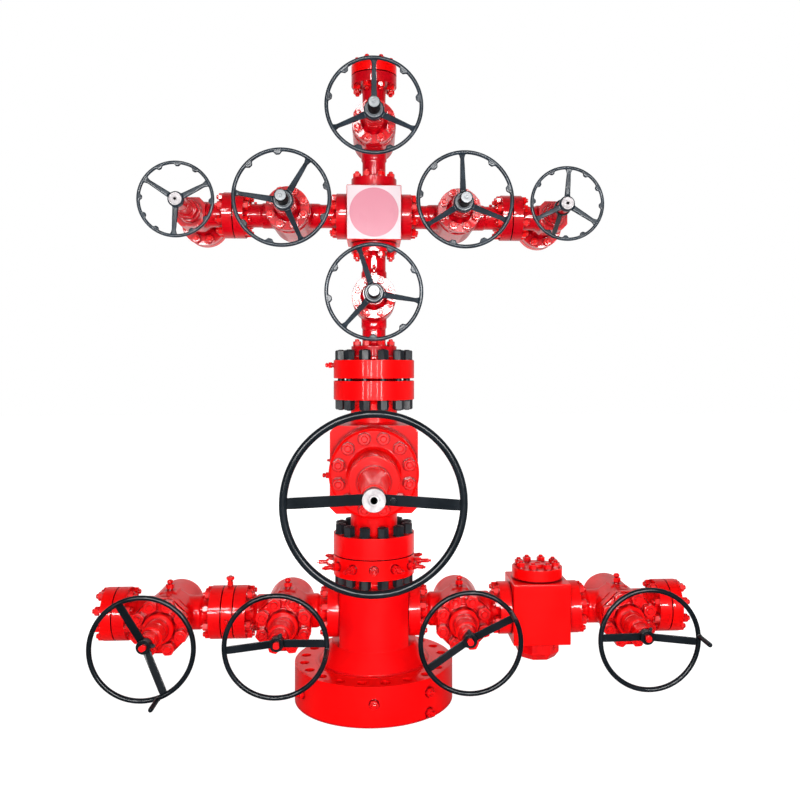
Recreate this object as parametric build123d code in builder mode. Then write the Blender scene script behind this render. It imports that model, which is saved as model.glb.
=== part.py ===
from build123d import *
import os
from math import cos, radians, sin

# Oil wellhead valve stack: a tubing head with two lower arms of gate valves, a large master valve,
# an adapter, and an upper tree of smaller gate valves round a cross, with a choke on each wing.
# Millimetres. The origin is the centre of the base flange's lower face, Z is up, and every hand
# wheel faces the front, which is -Y.

# What all flanged joints share
face_rise = 3.0
big_face_rise = 7.0
raised_face_share = 0.6
flange_edge = 4.0
block_edge = 5.0
cut_overrun = 20.0

# How a wheel's stem runs in its bonnet
stem_radius = 17.0
stem_running_clearance = 0.05
stem_depth = 60.0
stem_bore_extra = 4.0
hub_gap = 5.0
bore_lead_in = 3.0
rim_flat_count = 12

# Tubing head: base flange, cone, barrel with a flat for each arm, neck and top flange
base_flange_radius = 468.0
base_flange_thickness = 225.0
base_flange_edge = 10.0
base_hole_count = 20
base_hole_radius = 29.0
base_bolt_circle_radius = 412.0
head_foot_radius = 322.0
head_foot_height = 10.0
head_cone_height = 103.0
head_barrel_radius = 252.0
head_barrel_top = 672.0
head_shoulder_height = 10.0
head_neck_radius = 136.0
head_flange_thickness = 115.0
head_top = 856.0
big_flange_radius = 240.0

# Lockdown screws round the top flange of the tubing head
lockdown_count = 12
lockdown_height = 801.0
lockdown_pocket_depth = 14.0
lockdown_pocket_clearance = 3.0
gland_radius = 25.0
gland_length = 46.0
gland_collar_radius = 19.0
gland_collar_length = 10.0
lockdown_screw_radius = 13.0
lockdown_screw_length = 46.0
lockdown_tip_radius = 8.0
lockdown_tip_length = 14.0

# Test and injection ports on the rim of the base flange: turns from the front, and heights as
# shares of the flange's thickness
port_turns = (0.0, -60.0, 41.0, 41.0)
port_height_shares = (0.582, 0.48, 0.662, 0.151)
port_pocket_depth = 10.0
port_pocket_clearance = 3.0
port_hex_flats = 46.0
port_hex_length = 34.0
port_nose_radius = 14.0
port_nose_length = 16.0

# Large master valve
master_half_height = 516.0
master_lower_flange_thickness = 121.0
master_upper_flange_thickness = 112.0
master_neck_radius = 137.0
master_block_height = 506.0
master_block_width = 506.0
master_block_depth = 400.0
master_block_corner = 36.0
master_collar_radius = 142.0
master_collar_height = 18.0
master_boss_radius = 252.0
master_boss_length = 90.0
master_bonnet_radius = 250.0
master_bonnet_thickness = 107.0
master_bonnet_edge = 14.0
master_bonnet_neck_radius = 133.0
master_bonnet_neck_length = 332.0
bearing_flange_radius = 84.0
bearing_flange_thickness = 46.0
bearing_taper_length = 150.0
bearing_sleeve_radius = 60.0
bearing_sleeve_length = 342.0

# Adapter above the master valve
adapter_thickness = 108.0
adapter_boss_radius = 150.0
adapter_boss_height = 21.0

# Upper valves, two in the upright and one in each wing, alike but for their length
upper_half_length = 338.0
wing_half_length = 330.0
upper_flange_radius = 135.0
upper_flange_thickness = 58.4
upper_neck_radius = 69.0
upper_collar_radius = 74.0
upper_collar_reach = 166.0
upper_body_radius = 128.0
upper_body_back = 240.0
upper_body_front = 150.0
upper_back_taper = 34.0
upper_band_length = 50.0
upper_band_flats = 236.0
upper_bonnet_radius = 124.0
upper_bonnet_thickness = 49.0
upper_bonnet_neck_radius = 60.0
upper_bonnet_neck_length = 188.0
upper_bonnet_step_radius = 74.0
upper_bonnet_step_length = 14.0

# Cross block and tree cap
cross_width = 318.0
cap_thickness = 56.0
cap_boss_radius = 46.0
cap_boss_height = 12.0

# Chokes at the ends of the wings
choke_offset = 241.0
choke_block_width = 170.0
choke_block_corner = 34.0
choke_block_front = 112.0
choke_block_back = 86.0
choke_outlet_length = 338.0
choke_bonnet_radius = 66.0
choke_bonnet_thickness = 44.0
choke_nut_flats = 104.0
choke_nut_length = 46.0
choke_sleeve_radius = 37.0
choke_sleeve_length = 232.0
choke_outlet_bore_radius = 39.0

# Locking bar that hangs from the sleeve of the right choke
lock_collar_width = 24.0
lock_collar_wall = 9.0
lock_bar_width = 26.0
lock_bar_thickness = 10.0
lock_bar_length = 118.0
lock_bar_turn = 18.0
lock_clearance = 0.3
lock_station = 96.0

# Lower arms
arm_height = 513.0
arm_start = 200.0
lower_half_length = 307.5
lower_flange_radius = 153.0
lower_flange_thickness = 68.0
lower_neck_radius = 84.0
lower_saddle_radius = 98.0
lower_saddle_reach = 180.0
lower_body_radius = 140.0
lower_body_back = 285.0
lower_body_front = 150.0
lower_back_taper = 40.0
lower_back_radius = 124.0
lower_band_length = 58.0
lower_band_flats = 276.0
lower_bonnet_radius = 165.0
lower_bonnet_thickness = 58.0
lower_bonnet_edge = 12.0
lower_bonnet_step_radius = 84.0
lower_bonnet_step_length = 62.0
lower_bonnet_neck_radius = 60.0
lower_bonnet_neck_length = 150.0
lower_bonnet_nose_radius = 44.0
lower_bonnet_nose_length = 90.0
spacer_length = 68.0
end_flange_thickness = 64.0

# Check valve block in the right arm, with its round cap and its lower nose
check_block_length = 338.0
check_block_depth = 336.0
check_block_bottom = 331.0
check_block_top = 689.0
check_cap_seam = 8.0
check_cap_seat_radius = 96.0
check_cap_radius = 151.0
check_cap_thickness = 64.0
check_cap_boss_radius = 50.0
check_cap_boss_height = 16.0
check_nose_flats = 246.0
check_nose_length = 72.0
check_nose_taper_length = 36.0
check_nose_tip_flats = 196.0

# Grease and bleed fittings: a shank, a hexagon and a cap, one after the other; those of the
# lower valves are larger by a share
fitting_shank_radius = 13.0
fitting_shank_length = 16.0
fitting_hex_flats = 34.0
fitting_hex_length = 18.0
fitting_cap_radius = 11.0
fitting_cap_length = 20.0
fitting_pocket_depth = 4.0
fitting_pocket_clearance = 2.0
lower_fitting_size_share = 1.28
needle_shank_radius = 17.0
needle_shank_length = 40.0
needle_hex_flats = 42.0
needle_hex_length = 26.0
lower_fitting_station = 40.0
master_fitting_drop = 55.0
master_plug_rise = 34.0
adapter_fitting_drop = 26.0

# Cast wheels of the upper valves
cast_wheel_radius = 264.0
cast_rim_radius = 11.0
cast_rim_offset = 81.0
cast_hub_radius = 55.0
cast_hub_thickness = 46.0
cast_spoke_hub_width = 34.0
cast_spoke_rim_width = 22.0
cast_spoke_depth = 20.0
cast_flare_width = 46.0
cast_flare_length = 26.0
flare_depth_share = 1.5
cast_lobe_count = 2
cast_lobe_radius = 15.0
cast_lobe_thickness = 16.0
cast_lobe_inset = 27.0
stem_cover_radius = 33.0
stem_cover_length = 120.0

# Cast wheels of the chokes
choke_wheel_radius = 206.0
choke_rim_radius = 9.5
choke_rim_offset = 10.0
choke_hub_radius = 42.0
choke_hub_thickness = 42.0
choke_spoke_hub_width = 30.0
choke_spoke_rim_width = 22.0
choke_lobe_count = 3
choke_lobe_radius = 12.0
choke_lobe_inset = 23.0

# Crank wheels of the lower arms
crank_wheel_radius = 277.0
crank_rim_radius = 13.0
crank_rim_offset = 51.0
crank_hub_radius = 37.0
crank_hub_thickness = 46.0
crank_spoke_width = 40.0
crank_spoke_thickness = 9.0
crank_stem_end_radius = 19.0
crank_stem_end_length = 20.0
crank_handle_radius = 12.0
crank_handle_length = 165.0
crank_handle_turn = 7.0

# Big wheel of the master valve
big_wheel_radius = 403.0
big_rim_radius = 17.0
big_rim_offset = 131.0
big_hub_radius = 52.0
big_hub_thickness = 60.0
big_spoke_width = 49.0
big_spoke_thickness = 10.0
big_stem_radius = 26.0
big_socket_flats = 26.0
big_socket_depth = 30.0

# Turns of the spokes at rest, in degrees anticlockwise from +X as the front shows them
swab_spoke_turn = 90.0
left_wing_spoke_turn = 55.0
right_wing_spoke_turn = 94.0
upper_master_spoke_turn = 109.0
left_choke_spoke_turn = 27.0
right_choke_spoke_turn = 87.0
left_inner_spoke_turn = 3.0
left_outer_spoke_turn = -63.7
right_inner_spoke_turn = 30.0
right_outer_spoke_turn = -3.0
big_spoke_turn = -1.0

# Places worked out from the sizes above
master_axis_height = head_top + master_half_height
master_top = master_axis_height + master_half_height
adapter_top = master_top + big_face_rise + adapter_thickness + adapter_boss_height
upper_master_height = adapter_top + upper_half_length
cross_height = upper_master_height + upper_half_length + cross_width / 2
swab_height = cross_height + cross_width / 2 + upper_half_length
cap_height = swab_height + upper_half_length
wing_reach = cross_width / 2 + wing_half_length
choke_joint = wing_reach + wing_half_length
choke_reach = choke_joint + choke_offset
inner_reach = arm_start + lower_half_length
inner_joint = inner_reach + lower_half_length
left_outer_reach = inner_joint + spacer_length + lower_half_length
left_end_joint = left_outer_reach + lower_half_length
check_reach = inner_joint + check_block_length / 2
right_outer_reach = inner_joint + check_block_length + lower_half_length
right_end_joint = right_outer_reach + lower_half_length
stem_bore_radius = stem_radius + stem_running_clearance
big_stem_bore_radius = big_stem_radius + stem_running_clearance
upper_bonnet_start = upper_body_front + upper_band_length
upper_bonnet_front = upper_bonnet_start + face_rise + upper_bonnet_thickness
upper_stem_start = upper_bonnet_front + upper_bonnet_neck_length
lower_bonnet_start = lower_body_front + lower_band_length
lower_bonnet_front = lower_bonnet_start + face_rise + lower_bonnet_thickness
lower_stem_start = (
    lower_bonnet_front + lower_bonnet_step_length + lower_bonnet_neck_length + lower_bonnet_nose_length
)
master_bonnet_start = master_block_depth / 2 + master_boss_length
master_bonnet_front = master_bonnet_start + face_rise + master_bonnet_thickness
bearing_start = master_bonnet_front + master_bonnet_neck_length
master_stem_start = (
    bearing_start + bearing_flange_thickness + bearing_taper_length + bearing_sleeve_length
)
choke_stem_start = choke_block_front + choke_bonnet_thickness + choke_nut_length + choke_sleeve_length

UP = (0, 0, 1)
DOWN = (0, 0, -1)
LEFT = (-1, 0, 0)
RIGHT = (1, 0, 0)
FRONT = (0, -1, 0)
BACK = (0, 1, 0)

os.makedirs("parts", exist_ok=True)


def save(piece, label):
    """Label a finished piece and write it under its own name."""
    piece.part.label = label
    export_step(piece.part, f"parts/{label}.step")


def bore_plane(centre, way):
    """Return the plane across a bore at its centre, facing the way that the bore runs."""
    return Plane(origin=centre, x_dir=(0, 1, 0), z_dir=way)


def stem_plane(centre):
    """Return the plane across a stem that faces the front, with X to the right and Y up."""
    return Plane(origin=centre, x_dir=(1, 0, 0), z_dir=FRONT)


def turned(plane, steps, mode=Mode.ADD):
    """Turn a piece about the plane's normal; each step is a length, a start and an end radius."""
    outline = [(0, 0)]
    station = 0
    for length, start_radius, end_radius in steps:
        if outline[-1] != (start_radius, station):
            outline.append((start_radius, station))
        station += length
        outline.append((end_radius, station))
    outline.append((0, station))
    lathe = Plane(origin=plane.origin, x_dir=plane.x_dir, z_dir=-plane.y_dir)
    with BuildSketch(lathe) as half_section:
        with BuildLine():
            Polyline(*outline, close=True)
        make_face()
    revolve(half_section.sketch, axis=Axis(plane.origin, plane.z_dir), mode=mode)


def bar(plane, length, radius, mode=Mode.ADD):
    """Add a plain round bar that stands on the plane."""
    turned(plane, [(length, radius, radius)], mode)


def prism(plane, length, flats, sides, mode=Mode.ADD):
    """Add a prism of an even number of sides, given across its flats, that stands on the plane."""
    with BuildSketch(plane) as outline:
        RegularPolygon(flats / 2, sides, major_radius=False, rotation=180 / sides)
    extrude(outline.sketch, amount=length, mode=mode)


def flange_steps(thickness, radius, rise):
    """Return the turned steps of a flange with broken edges and a raised face at its far end."""
    inner_radius = radius - flange_edge
    face_radius = radius * raised_face_share
    return [
        (flange_edge, inner_radius, radius),
        (thickness - 2 * flange_edge, radius, radius),
        (flange_edge, radius, inner_radius),
        (rise, face_radius, face_radius),
    ]


def reversed_steps(steps):
    """Return the same turned steps, read from the far end."""
    return [(length, end_radius, start_radius) for length, start_radius, end_radius in reversed(steps)]


def radial_plane(radius, turn, height):
    """Return the plane at a radius, a turn from +X and a height, facing out from the upright axis."""
    outward = (cos(radians(turn)), sin(radians(turn)), 0)
    return Plane((radius * outward[0], radius * outward[1], height), z_dir=outward)


def stem_bore(plane, bore_radius):
    """Cut the blind bore for a stem below the plane, with a short lead-in."""
    depth = stem_depth + stem_bore_extra
    bar(plane.offset(-depth), depth + cut_overrun, bore_radius, mode=Mode.SUBTRACT)
    lead_in = [(bore_lead_in, bore_radius, bore_radius + bore_lead_in)]
    turned(plane.offset(-bore_lead_in), lead_in, mode=Mode.SUBTRACT)


def fitting_pocket(plane, flats):
    """Cut the flat seat of a fitting below the plane."""
    radius = flats / 2 + fitting_pocket_clearance + fitting_pocket_depth
    seat = plane.offset(-fitting_pocket_depth)
    bar(seat, fitting_pocket_depth + cut_overrun, radius, mode=Mode.SUBTRACT)


def fitting(seat, size_share=1):
    """Add one fitting that stands on the seat."""
    hex_start = fitting_shank_length * size_share
    cap_start = hex_start + fitting_hex_length * size_share
    bar(seat, hex_start, fitting_shank_radius * size_share)
    prism(seat.offset(hex_start), fitting_hex_length * size_share, fitting_hex_flats * size_share, 6)
    bar(seat.offset(cap_start), fitting_cap_length * size_share, fitting_cap_radius * size_share)


def upper_valve_body(centre, way, half_length):
    """Make the body of an upper valve, with a flanged neck each way along its bore."""
    stem = stem_plane(centre)
    neck_length = half_length - face_rise - upper_flange_thickness
    with BuildPart() as body:
        turned(
            stem.offset(-upper_body_back),
            [
                (upper_back_taper, upper_body_radius - upper_back_taper, upper_body_radius),
                (upper_body_back - upper_back_taper + upper_body_front, upper_body_radius, upper_body_radius),
            ],
        )
        prism(stem.offset(upper_body_front), upper_band_length, upper_band_flats, 8)
        for side in (1, -1):
            end = bore_plane(centre, (way[0] * side, 0, way[2] * side))
            steps = [
                (upper_collar_reach, upper_collar_radius, upper_collar_radius),
                (neck_length - upper_collar_reach, upper_neck_radius, upper_neck_radius),
            ]
            turned(end, steps + flange_steps(upper_flange_thickness, upper_flange_radius, face_rise))
    return body


def upper_valve_bonnet(centre):
    """Make the bonnet of an upper valve, with the blind bore of its stem."""
    stem = stem_plane(centre)
    face_radius = upper_bonnet_radius * raised_face_share
    steps = [
        (face_rise, face_radius, face_radius),
        (upper_bonnet_thickness - flange_edge, upper_bonnet_radius, upper_bonnet_radius),
        (flange_edge, upper_bonnet_radius, upper_bonnet_radius - flange_edge),
        (upper_bonnet_step_length, upper_bonnet_step_radius, upper_bonnet_neck_radius),
        (
            upper_bonnet_neck_length - upper_bonnet_step_length,
            upper_bonnet_neck_radius,
            upper_bonnet_neck_radius,
        ),
    ]
    with BuildPart() as bonnet:
        turned(stem.offset(upper_bonnet_start), steps)
        stem_bore(stem.offset(upper_stem_start), stem_bore_radius)
    return bonnet


def lower_valve_body(centre):
    """Make the body of a lower valve, with its bore along X and a seat for a grease fitting."""
    stem = stem_plane(centre)
    barrel_length = lower_body_back - lower_back_taper + lower_body_front
    neck_length = lower_half_length - face_rise - lower_flange_thickness
    with BuildPart() as body:
        turned(
            stem.offset(-lower_body_back),
            [
                (lower_back_taper, lower_back_radius, lower_body_radius),
                (barrel_length, lower_body_radius, lower_body_radius),
            ],
        )
        prism(stem.offset(lower_body_front), lower_band_length, lower_band_flats, 8)
        for way in (LEFT, RIGHT):
            steps = [
                (lower_saddle_reach, lower_saddle_radius, lower_saddle_radius),
                (neck_length - lower_saddle_reach, lower_neck_radius, lower_neck_radius),
            ]
            steps += flange_steps(lower_flange_thickness, lower_flange_radius, face_rise)
            turned(bore_plane(centre, way), steps)
        fitting_pocket(lower_fitting_seat(centre), fitting_hex_flats * lower_fitting_size_share)
    return body


def lower_fitting_seat(centre):
    """Return the plane on top of a lower valve's body where its grease fitting stands."""
    seat = (centre[0], -lower_fitting_station, centre[2] + lower_body_radius)
    return Plane(origin=seat, x_dir=(1, 0, 0), z_dir=UP)


def lower_valve_bonnet(centre):
    """Make the bonnet of a lower valve, stepped down to its stem, with the stem's blind bore."""
    stem = stem_plane(centre)
    face_radius = lower_bonnet_radius * raised_face_share
    plate_length = lower_bonnet_thickness - lower_bonnet_edge
    steps = [
        (face_rise, face_radius, face_radius),
        (plate_length, lower_bonnet_radius, lower_bonnet_radius),
        (lower_bonnet_edge, lower_bonnet_radius, lower_bonnet_radius - lower_bonnet_edge),
        (lower_bonnet_step_length, lower_bonnet_step_radius, lower_bonnet_step_radius),
        (lower_bonnet_neck_length, lower_bonnet_neck_radius, lower_bonnet_neck_radius),
        (lower_bonnet_nose_length, lower_bonnet_nose_radius, lower_bonnet_nose_radius),
    ]
    with BuildPart() as bonnet:
        turned(stem.offset(lower_bonnet_start), steps)
        stem_bore(stem.offset(lower_stem_start), stem_bore_radius)
    return bonnet


def end_flange(centre, way):
    """Make a blind end flange that faces back along the arm."""
    steps = reversed_steps(flange_steps(end_flange_thickness, lower_flange_radius, face_rise))
    with BuildPart() as flange:
        turned(bore_plane(centre, way), steps)
    return flange


def choke_body(centre, inward):
    """Make a choke body: an angle block with a flanged inlet from the wing and an outlet behind."""
    stem = stem_plane(centre)
    inlet_neck = choke_offset - face_rise - upper_flange_thickness
    outlet_neck = choke_outlet_length - face_rise - upper_flange_thickness
    outlet = bore_plane(centre, inward)
    with BuildPart() as body:
        with BuildSketch(stem.offset(-choke_block_back)) as outline:
            Rectangle(choke_block_width, choke_block_width)
            chamfer(outline.vertices(), choke_block_corner)
        extrude(outline.sketch, amount=choke_block_back + choke_block_front)
        steps = [(inlet_neck, upper_neck_radius, upper_neck_radius)]
        turned(outlet, steps + flange_steps(upper_flange_thickness, upper_flange_radius, face_rise))
        back = Plane(origin=centre, x_dir=(1, 0, 0), z_dir=BACK)
        steps = [(outlet_neck, upper_neck_radius, upper_neck_radius)]
        turned(back, steps + flange_steps(upper_flange_thickness, upper_flange_radius, face_rise))
    return body


def choke_bonnet(centre):
    """Make a choke's bonnet: a round collar, a hexagon and a long sleeve for the stem."""
    stem = stem_plane(centre)
    collar_end = choke_block_front + choke_bonnet_thickness
    with BuildPart() as bonnet:
        turned(
            stem.offset(choke_block_front),
            [
                (choke_bonnet_thickness - flange_edge, choke_bonnet_radius, choke_bonnet_radius),
                (flange_edge, choke_bonnet_radius, choke_bonnet_radius - flange_edge),
            ],
        )
        prism(stem.offset(collar_end), choke_nut_length, choke_nut_flats, 6)
        bar(stem.offset(collar_end + choke_nut_length), choke_sleeve_length, choke_sleeve_radius)
        stem_bore(stem.offset(choke_stem_start), stem_bore_radius)
    return bonnet


def ring(plane, middle_radius, tube_radius):
    """Add a wheel's rim on the plane: a tube with narrow flats, bent into a circle."""
    lathe = Plane(origin=plane.origin, x_dir=plane.x_dir, z_dir=-plane.y_dir)
    with BuildSketch(lathe) as section:
        with Locations((middle_radius, 0)):
            RegularPolygon(tube_radius, rim_flat_count, major_radius=False, rotation=180 / rim_flat_count)
    revolve(section.sketch, axis=Axis(plane.origin, plane.z_dir))


def wheel_point(plane, turn, radius, level):
    """Return the point at a turn, a radius and a level in a wheel's plane."""
    return plane.from_local_coords((radius * cos(radians(turn)), radius * sin(radians(turn)), level))


def spoke(plane, turn, stations):
    """Add one spoke through its stations, each a radius, a level, a width and a depth."""
    direction = plane.from_local_coords((cos(radians(turn)), sin(radians(turn)), 0)) - plane.origin
    sections = []
    for radius, level, width, depth in stations:
        across = Plane(wheel_point(plane, turn, radius, level), x_dir=plane.z_dir, z_dir=direction)
        with BuildSketch(across) as section:
            Rectangle(depth, width)
        sections.append(section.sketch.faces()[0])
    loft(sections, ruled=True)


def cast_wheel(centre, stem_start, turn, size):
    """Make a cast wheel with three spokes and finger lobes; size names its family."""
    if size == "choke":
        radius, rim_radius, rim_offset = choke_wheel_radius, choke_rim_radius, choke_rim_offset
        hub_radius, hub_thickness = choke_hub_radius, choke_hub_thickness
        hub_width, rim_width = choke_spoke_hub_width, choke_spoke_rim_width
        lobe_radius, lobe_inset, lobe_count = choke_lobe_radius, choke_lobe_inset, choke_lobe_count
    else:
        radius, rim_radius, rim_offset = cast_wheel_radius, cast_rim_radius, cast_rim_offset
        hub_radius, hub_thickness = cast_hub_radius, cast_hub_thickness
        hub_width, rim_width = cast_spoke_hub_width, cast_spoke_rim_width
        lobe_radius, lobe_inset, lobe_count = cast_lobe_radius, cast_lobe_inset, cast_lobe_count
    flare_depth = rim_radius * flare_depth_share
    hub_back = stem_plane(centre).offset(stem_start + hub_gap)
    rim_level = hub_thickness / 2 + rim_offset
    rim_middle = radius - rim_radius
    flare_start = rim_middle - cast_flare_length
    flare_share = (flare_start - hub_radius) / (rim_middle - hub_radius)
    flare_level = hub_thickness / 2 + rim_offset * flare_share
    with BuildPart() as wheel:
        bar(hub_back.offset(-hub_gap - stem_depth), hub_gap + stem_depth, stem_radius)
        steps = [
            (hub_thickness - flange_edge, hub_radius, hub_radius),
            (flange_edge, hub_radius, hub_radius - flange_edge),
        ]
        turned(hub_back, steps)
        if size != "choke":
            bar(hub_back.offset(hub_thickness), stem_cover_length, stem_cover_radius)
        ring(hub_back.offset(rim_level), rim_middle, rim_radius)
        for index in range(3):
            spoke_turn = turn + 120 * index
            inner = (hub_radius / 2, hub_thickness / 2, hub_width, cast_spoke_depth)
            middle = (flare_start, flare_level, rim_width, flare_depth)
            outer = (rim_middle, rim_level, cast_flare_width, flare_depth)
            spoke(hub_back, spoke_turn, (inner, middle, outer))
            for lobe in range(lobe_count):
                lobe_turn = spoke_turn + 120 * (lobe + 1) / (lobe_count + 1)
                lobe_level = rim_level - cast_lobe_thickness / 2
                lobe_centre = wheel_point(hub_back, lobe_turn, radius - lobe_inset, lobe_level)
                bar(Plane(lobe_centre, x_dir=(1, 0, 0), z_dir=FRONT), cast_lobe_thickness, lobe_radius)
    return wheel


def crank_wheel(centre, turn, handle_turn):
    """Make a lower wheel: a tube rim, two flat spokes and a fixed crank handle."""
    hub_back = stem_plane(centre).offset(lower_stem_start + hub_gap)
    middle_level = crank_hub_thickness / 2
    rim_level = middle_level + crank_rim_offset
    rim_middle = crank_wheel_radius - crank_rim_radius
    with BuildPart() as wheel:
        bar(hub_back.offset(-hub_gap - stem_depth), hub_gap + stem_depth, stem_radius)
        bar(hub_back, crank_hub_thickness, crank_hub_radius)
        bar(hub_back.offset(crank_hub_thickness), crank_stem_end_length, crank_stem_end_radius)
        ring(hub_back.offset(rim_level), rim_middle, crank_rim_radius)
        for way_turn in (turn, turn + 180):
            inner = (crank_hub_radius / 2, middle_level, crank_spoke_width, crank_spoke_thickness)
            outer = (rim_middle, rim_level, crank_spoke_width, crank_spoke_thickness)
            spoke(hub_back, way_turn, (inner, outer))
        handle_foot = wheel_point(hub_back, handle_turn, rim_middle, rim_level)
        handle_plane = Plane(handle_foot, x_dir=(1, 0, 0), z_dir=FRONT)
        turned(
            handle_plane,
            [
                (crank_handle_length - flange_edge, crank_handle_radius, crank_handle_radius),
                (flange_edge, crank_handle_radius, crank_handle_radius - flange_edge),
            ],
        )
    return wheel


def big_wheel(centre):
    """Make the master valve's wheel: a tube rim, two flat spokes and a hub with a hexagon socket."""
    hub_back = stem_plane(centre).offset(master_stem_start + hub_gap)
    middle_level = big_hub_thickness / 2
    rim_level = middle_level + big_rim_offset
    rim_middle = big_wheel_radius - big_rim_radius
    socket_plane = hub_back.offset(big_hub_thickness - big_socket_depth)
    with BuildPart() as wheel:
        bar(hub_back.offset(-hub_gap - stem_depth), hub_gap + stem_depth, big_stem_radius)
        turned(
            hub_back,
            [
                (big_hub_thickness - flange_edge, big_hub_radius, big_hub_radius),
                (flange_edge, big_hub_radius, big_hub_radius - flange_edge),
            ],
        )
        ring(hub_back.offset(rim_level), rim_middle, big_rim_radius)
        for way_turn in (big_spoke_turn, big_spoke_turn + 180):
            inner = (big_hub_radius / 2, middle_level, big_spoke_width, big_spoke_thickness)
            outer = (rim_middle, rim_level, big_spoke_width, big_spoke_thickness)
            spoke(hub_back, way_turn, (inner, outer))
        prism(socket_plane, big_socket_depth + cut_overrun, big_socket_flats, 6, mode=Mode.SUBTRACT)
    return wheel


# Tubing head: base flange, barrel cut flat where each arm is bolted on, and top flange
port_seats = [
    radial_plane(base_flange_radius - port_pocket_depth, turn - 90, share * base_flange_thickness)
    for turn, share in zip(port_turns, port_height_shares)
]
lockdown_seats = [
    radial_plane(big_flange_radius - lockdown_pocket_depth, 360 * index / lockdown_count, lockdown_height)
    for index in range(lockdown_count)
]
head_neck_top = head_top - face_rise - head_flange_thickness
with BuildPart() as head_base_flange:
    base_inner_radius = base_flange_radius - base_flange_edge
    turned(
        Plane.XY,
        [
            (base_flange_edge, base_inner_radius, base_flange_radius),
            (base_flange_thickness - 2 * base_flange_edge, base_flange_radius, base_flange_radius),
            (base_flange_edge, base_flange_radius, base_inner_radius),
        ],
    )
    with BuildSketch(Plane.XY) as base_holes:
        with PolarLocations(base_bolt_circle_radius, base_hole_count, start_angle=180 / base_hole_count):
            Circle(base_hole_radius)
    extrude(base_holes.sketch, amount=base_flange_thickness, mode=Mode.SUBTRACT)
    port_pocket_radius = port_hex_flats / 2 / cos(radians(30)) + port_pocket_clearance
    for seat in port_seats:
        bar(seat, port_pocket_depth + cut_overrun, port_pocket_radius, mode=Mode.SUBTRACT)
save(head_base_flange, "head_base_flange")

with BuildPart() as tubing_head:
    neck_bottom = head_barrel_top + head_shoulder_height
    barrel_bottom = base_flange_thickness + head_foot_height + head_cone_height
    turned(
        Plane.XY.offset(base_flange_thickness),
        [
            (head_foot_height, head_foot_radius, head_foot_radius),
            (head_cone_height, head_foot_radius, head_barrel_radius),
            (head_barrel_top - barrel_bottom, head_barrel_radius, head_barrel_radius),
            (head_shoulder_height, head_barrel_radius, head_barrel_radius - head_shoulder_height),
            (head_neck_top - neck_bottom, head_neck_radius, head_neck_radius),
        ],
    )
    flat_depth = head_foot_radius - arm_start
    with BuildSketch(Plane.XY.offset(barrel_bottom)) as arm_flats:
        with Locations((-arm_start - flat_depth / 2, 0), (arm_start + flat_depth / 2, 0)):
            Rectangle(flat_depth, 2 * head_foot_radius)
    extrude(arm_flats.sketch, amount=head_neck_top - barrel_bottom, mode=Mode.SUBTRACT)
save(tubing_head, "tubing_head")

with BuildPart() as head_top_flange:
    turned(
        Plane.XY.offset(head_neck_top),
        flange_steps(head_flange_thickness, big_flange_radius, face_rise),
    )
    for seat in lockdown_seats:
        pocket_radius = gland_radius + lockdown_pocket_clearance
        bar(seat, lockdown_pocket_depth + cut_overrun, pocket_radius, mode=Mode.SUBTRACT)
save(head_top_flange, "head_top_flange")

with BuildPart() as lockdown_screws:
    for seat in lockdown_seats:
        turned(
            seat,
            [
                (gland_length, gland_radius, gland_radius),
                (gland_collar_length, gland_collar_radius, gland_collar_radius),
                (lockdown_screw_length, lockdown_screw_radius, lockdown_screw_radius),
                (lockdown_tip_length, lockdown_tip_radius, lockdown_tip_radius),
            ],
        )
save(lockdown_screws, "lockdown_screws")

with BuildPart() as base_ports:
    for seat in port_seats:
        prism(seat, port_hex_length, port_hex_flats, 6)
        bar(seat.offset(port_hex_length), port_nose_length, port_nose_radius)
save(base_ports, "base_ports")

# Large master valve
master_centre = (0, 0, master_axis_height)
master_stem = stem_plane(master_centre)
with BuildPart() as master_valve_body:
    with BuildSketch(master_stem.offset(-master_block_depth / 2)) as block_outline:
        Rectangle(master_block_width, master_block_height)
        chamfer(block_outline.vertices(), master_block_corner)
    extrude(amount=master_block_depth)
    bar(master_stem.offset(master_block_depth / 2), master_boss_length, master_boss_radius)
    lower_reach = master_half_height - face_rise - master_lower_flange_thickness
    turned(
        bore_plane(master_centre, DOWN),
        [(lower_reach, master_neck_radius, master_neck_radius)]
        + flange_steps(master_lower_flange_thickness, big_flange_radius, face_rise),
    )
    collar_end = master_block_height / 2 + master_collar_height
    upper_reach = master_half_height - big_face_rise - master_upper_flange_thickness
    turned(
        bore_plane(master_centre, UP),
        [
            (collar_end, master_collar_radius, master_collar_radius),
            (upper_reach - collar_end, master_neck_radius, master_neck_radius),
        ]
        + flange_steps(master_upper_flange_thickness, big_flange_radius, big_face_rise),
    )
save(master_valve_body, "master_valve_body")

with BuildPart() as master_bonnet:
    face_radius = master_bonnet_radius * raised_face_share
    plate_length = master_bonnet_thickness - master_bonnet_edge
    turned(
        master_stem.offset(master_bonnet_start),
        [
            (face_rise, face_radius, face_radius),
            (plate_length, master_bonnet_radius, master_bonnet_radius),
            (master_bonnet_edge, master_bonnet_radius, master_bonnet_radius - master_bonnet_edge),
            (master_bonnet_neck_length, master_bonnet_neck_radius, master_bonnet_neck_radius),
        ],
    )
save(master_bonnet, "master_bonnet")

with BuildPart() as master_bearing_housing:
    turned(
        master_stem.offset(bearing_start),
        [
            (bearing_flange_thickness, bearing_flange_radius, bearing_flange_radius),
            (bearing_taper_length, bearing_flange_radius, bearing_sleeve_radius),
            (bearing_sleeve_length, bearing_sleeve_radius, bearing_sleeve_radius),
        ],
    )
    stem_bore(master_stem.offset(master_stem_start), big_stem_bore_radius)
save(master_bearing_housing, "master_bearing_housing")

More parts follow.
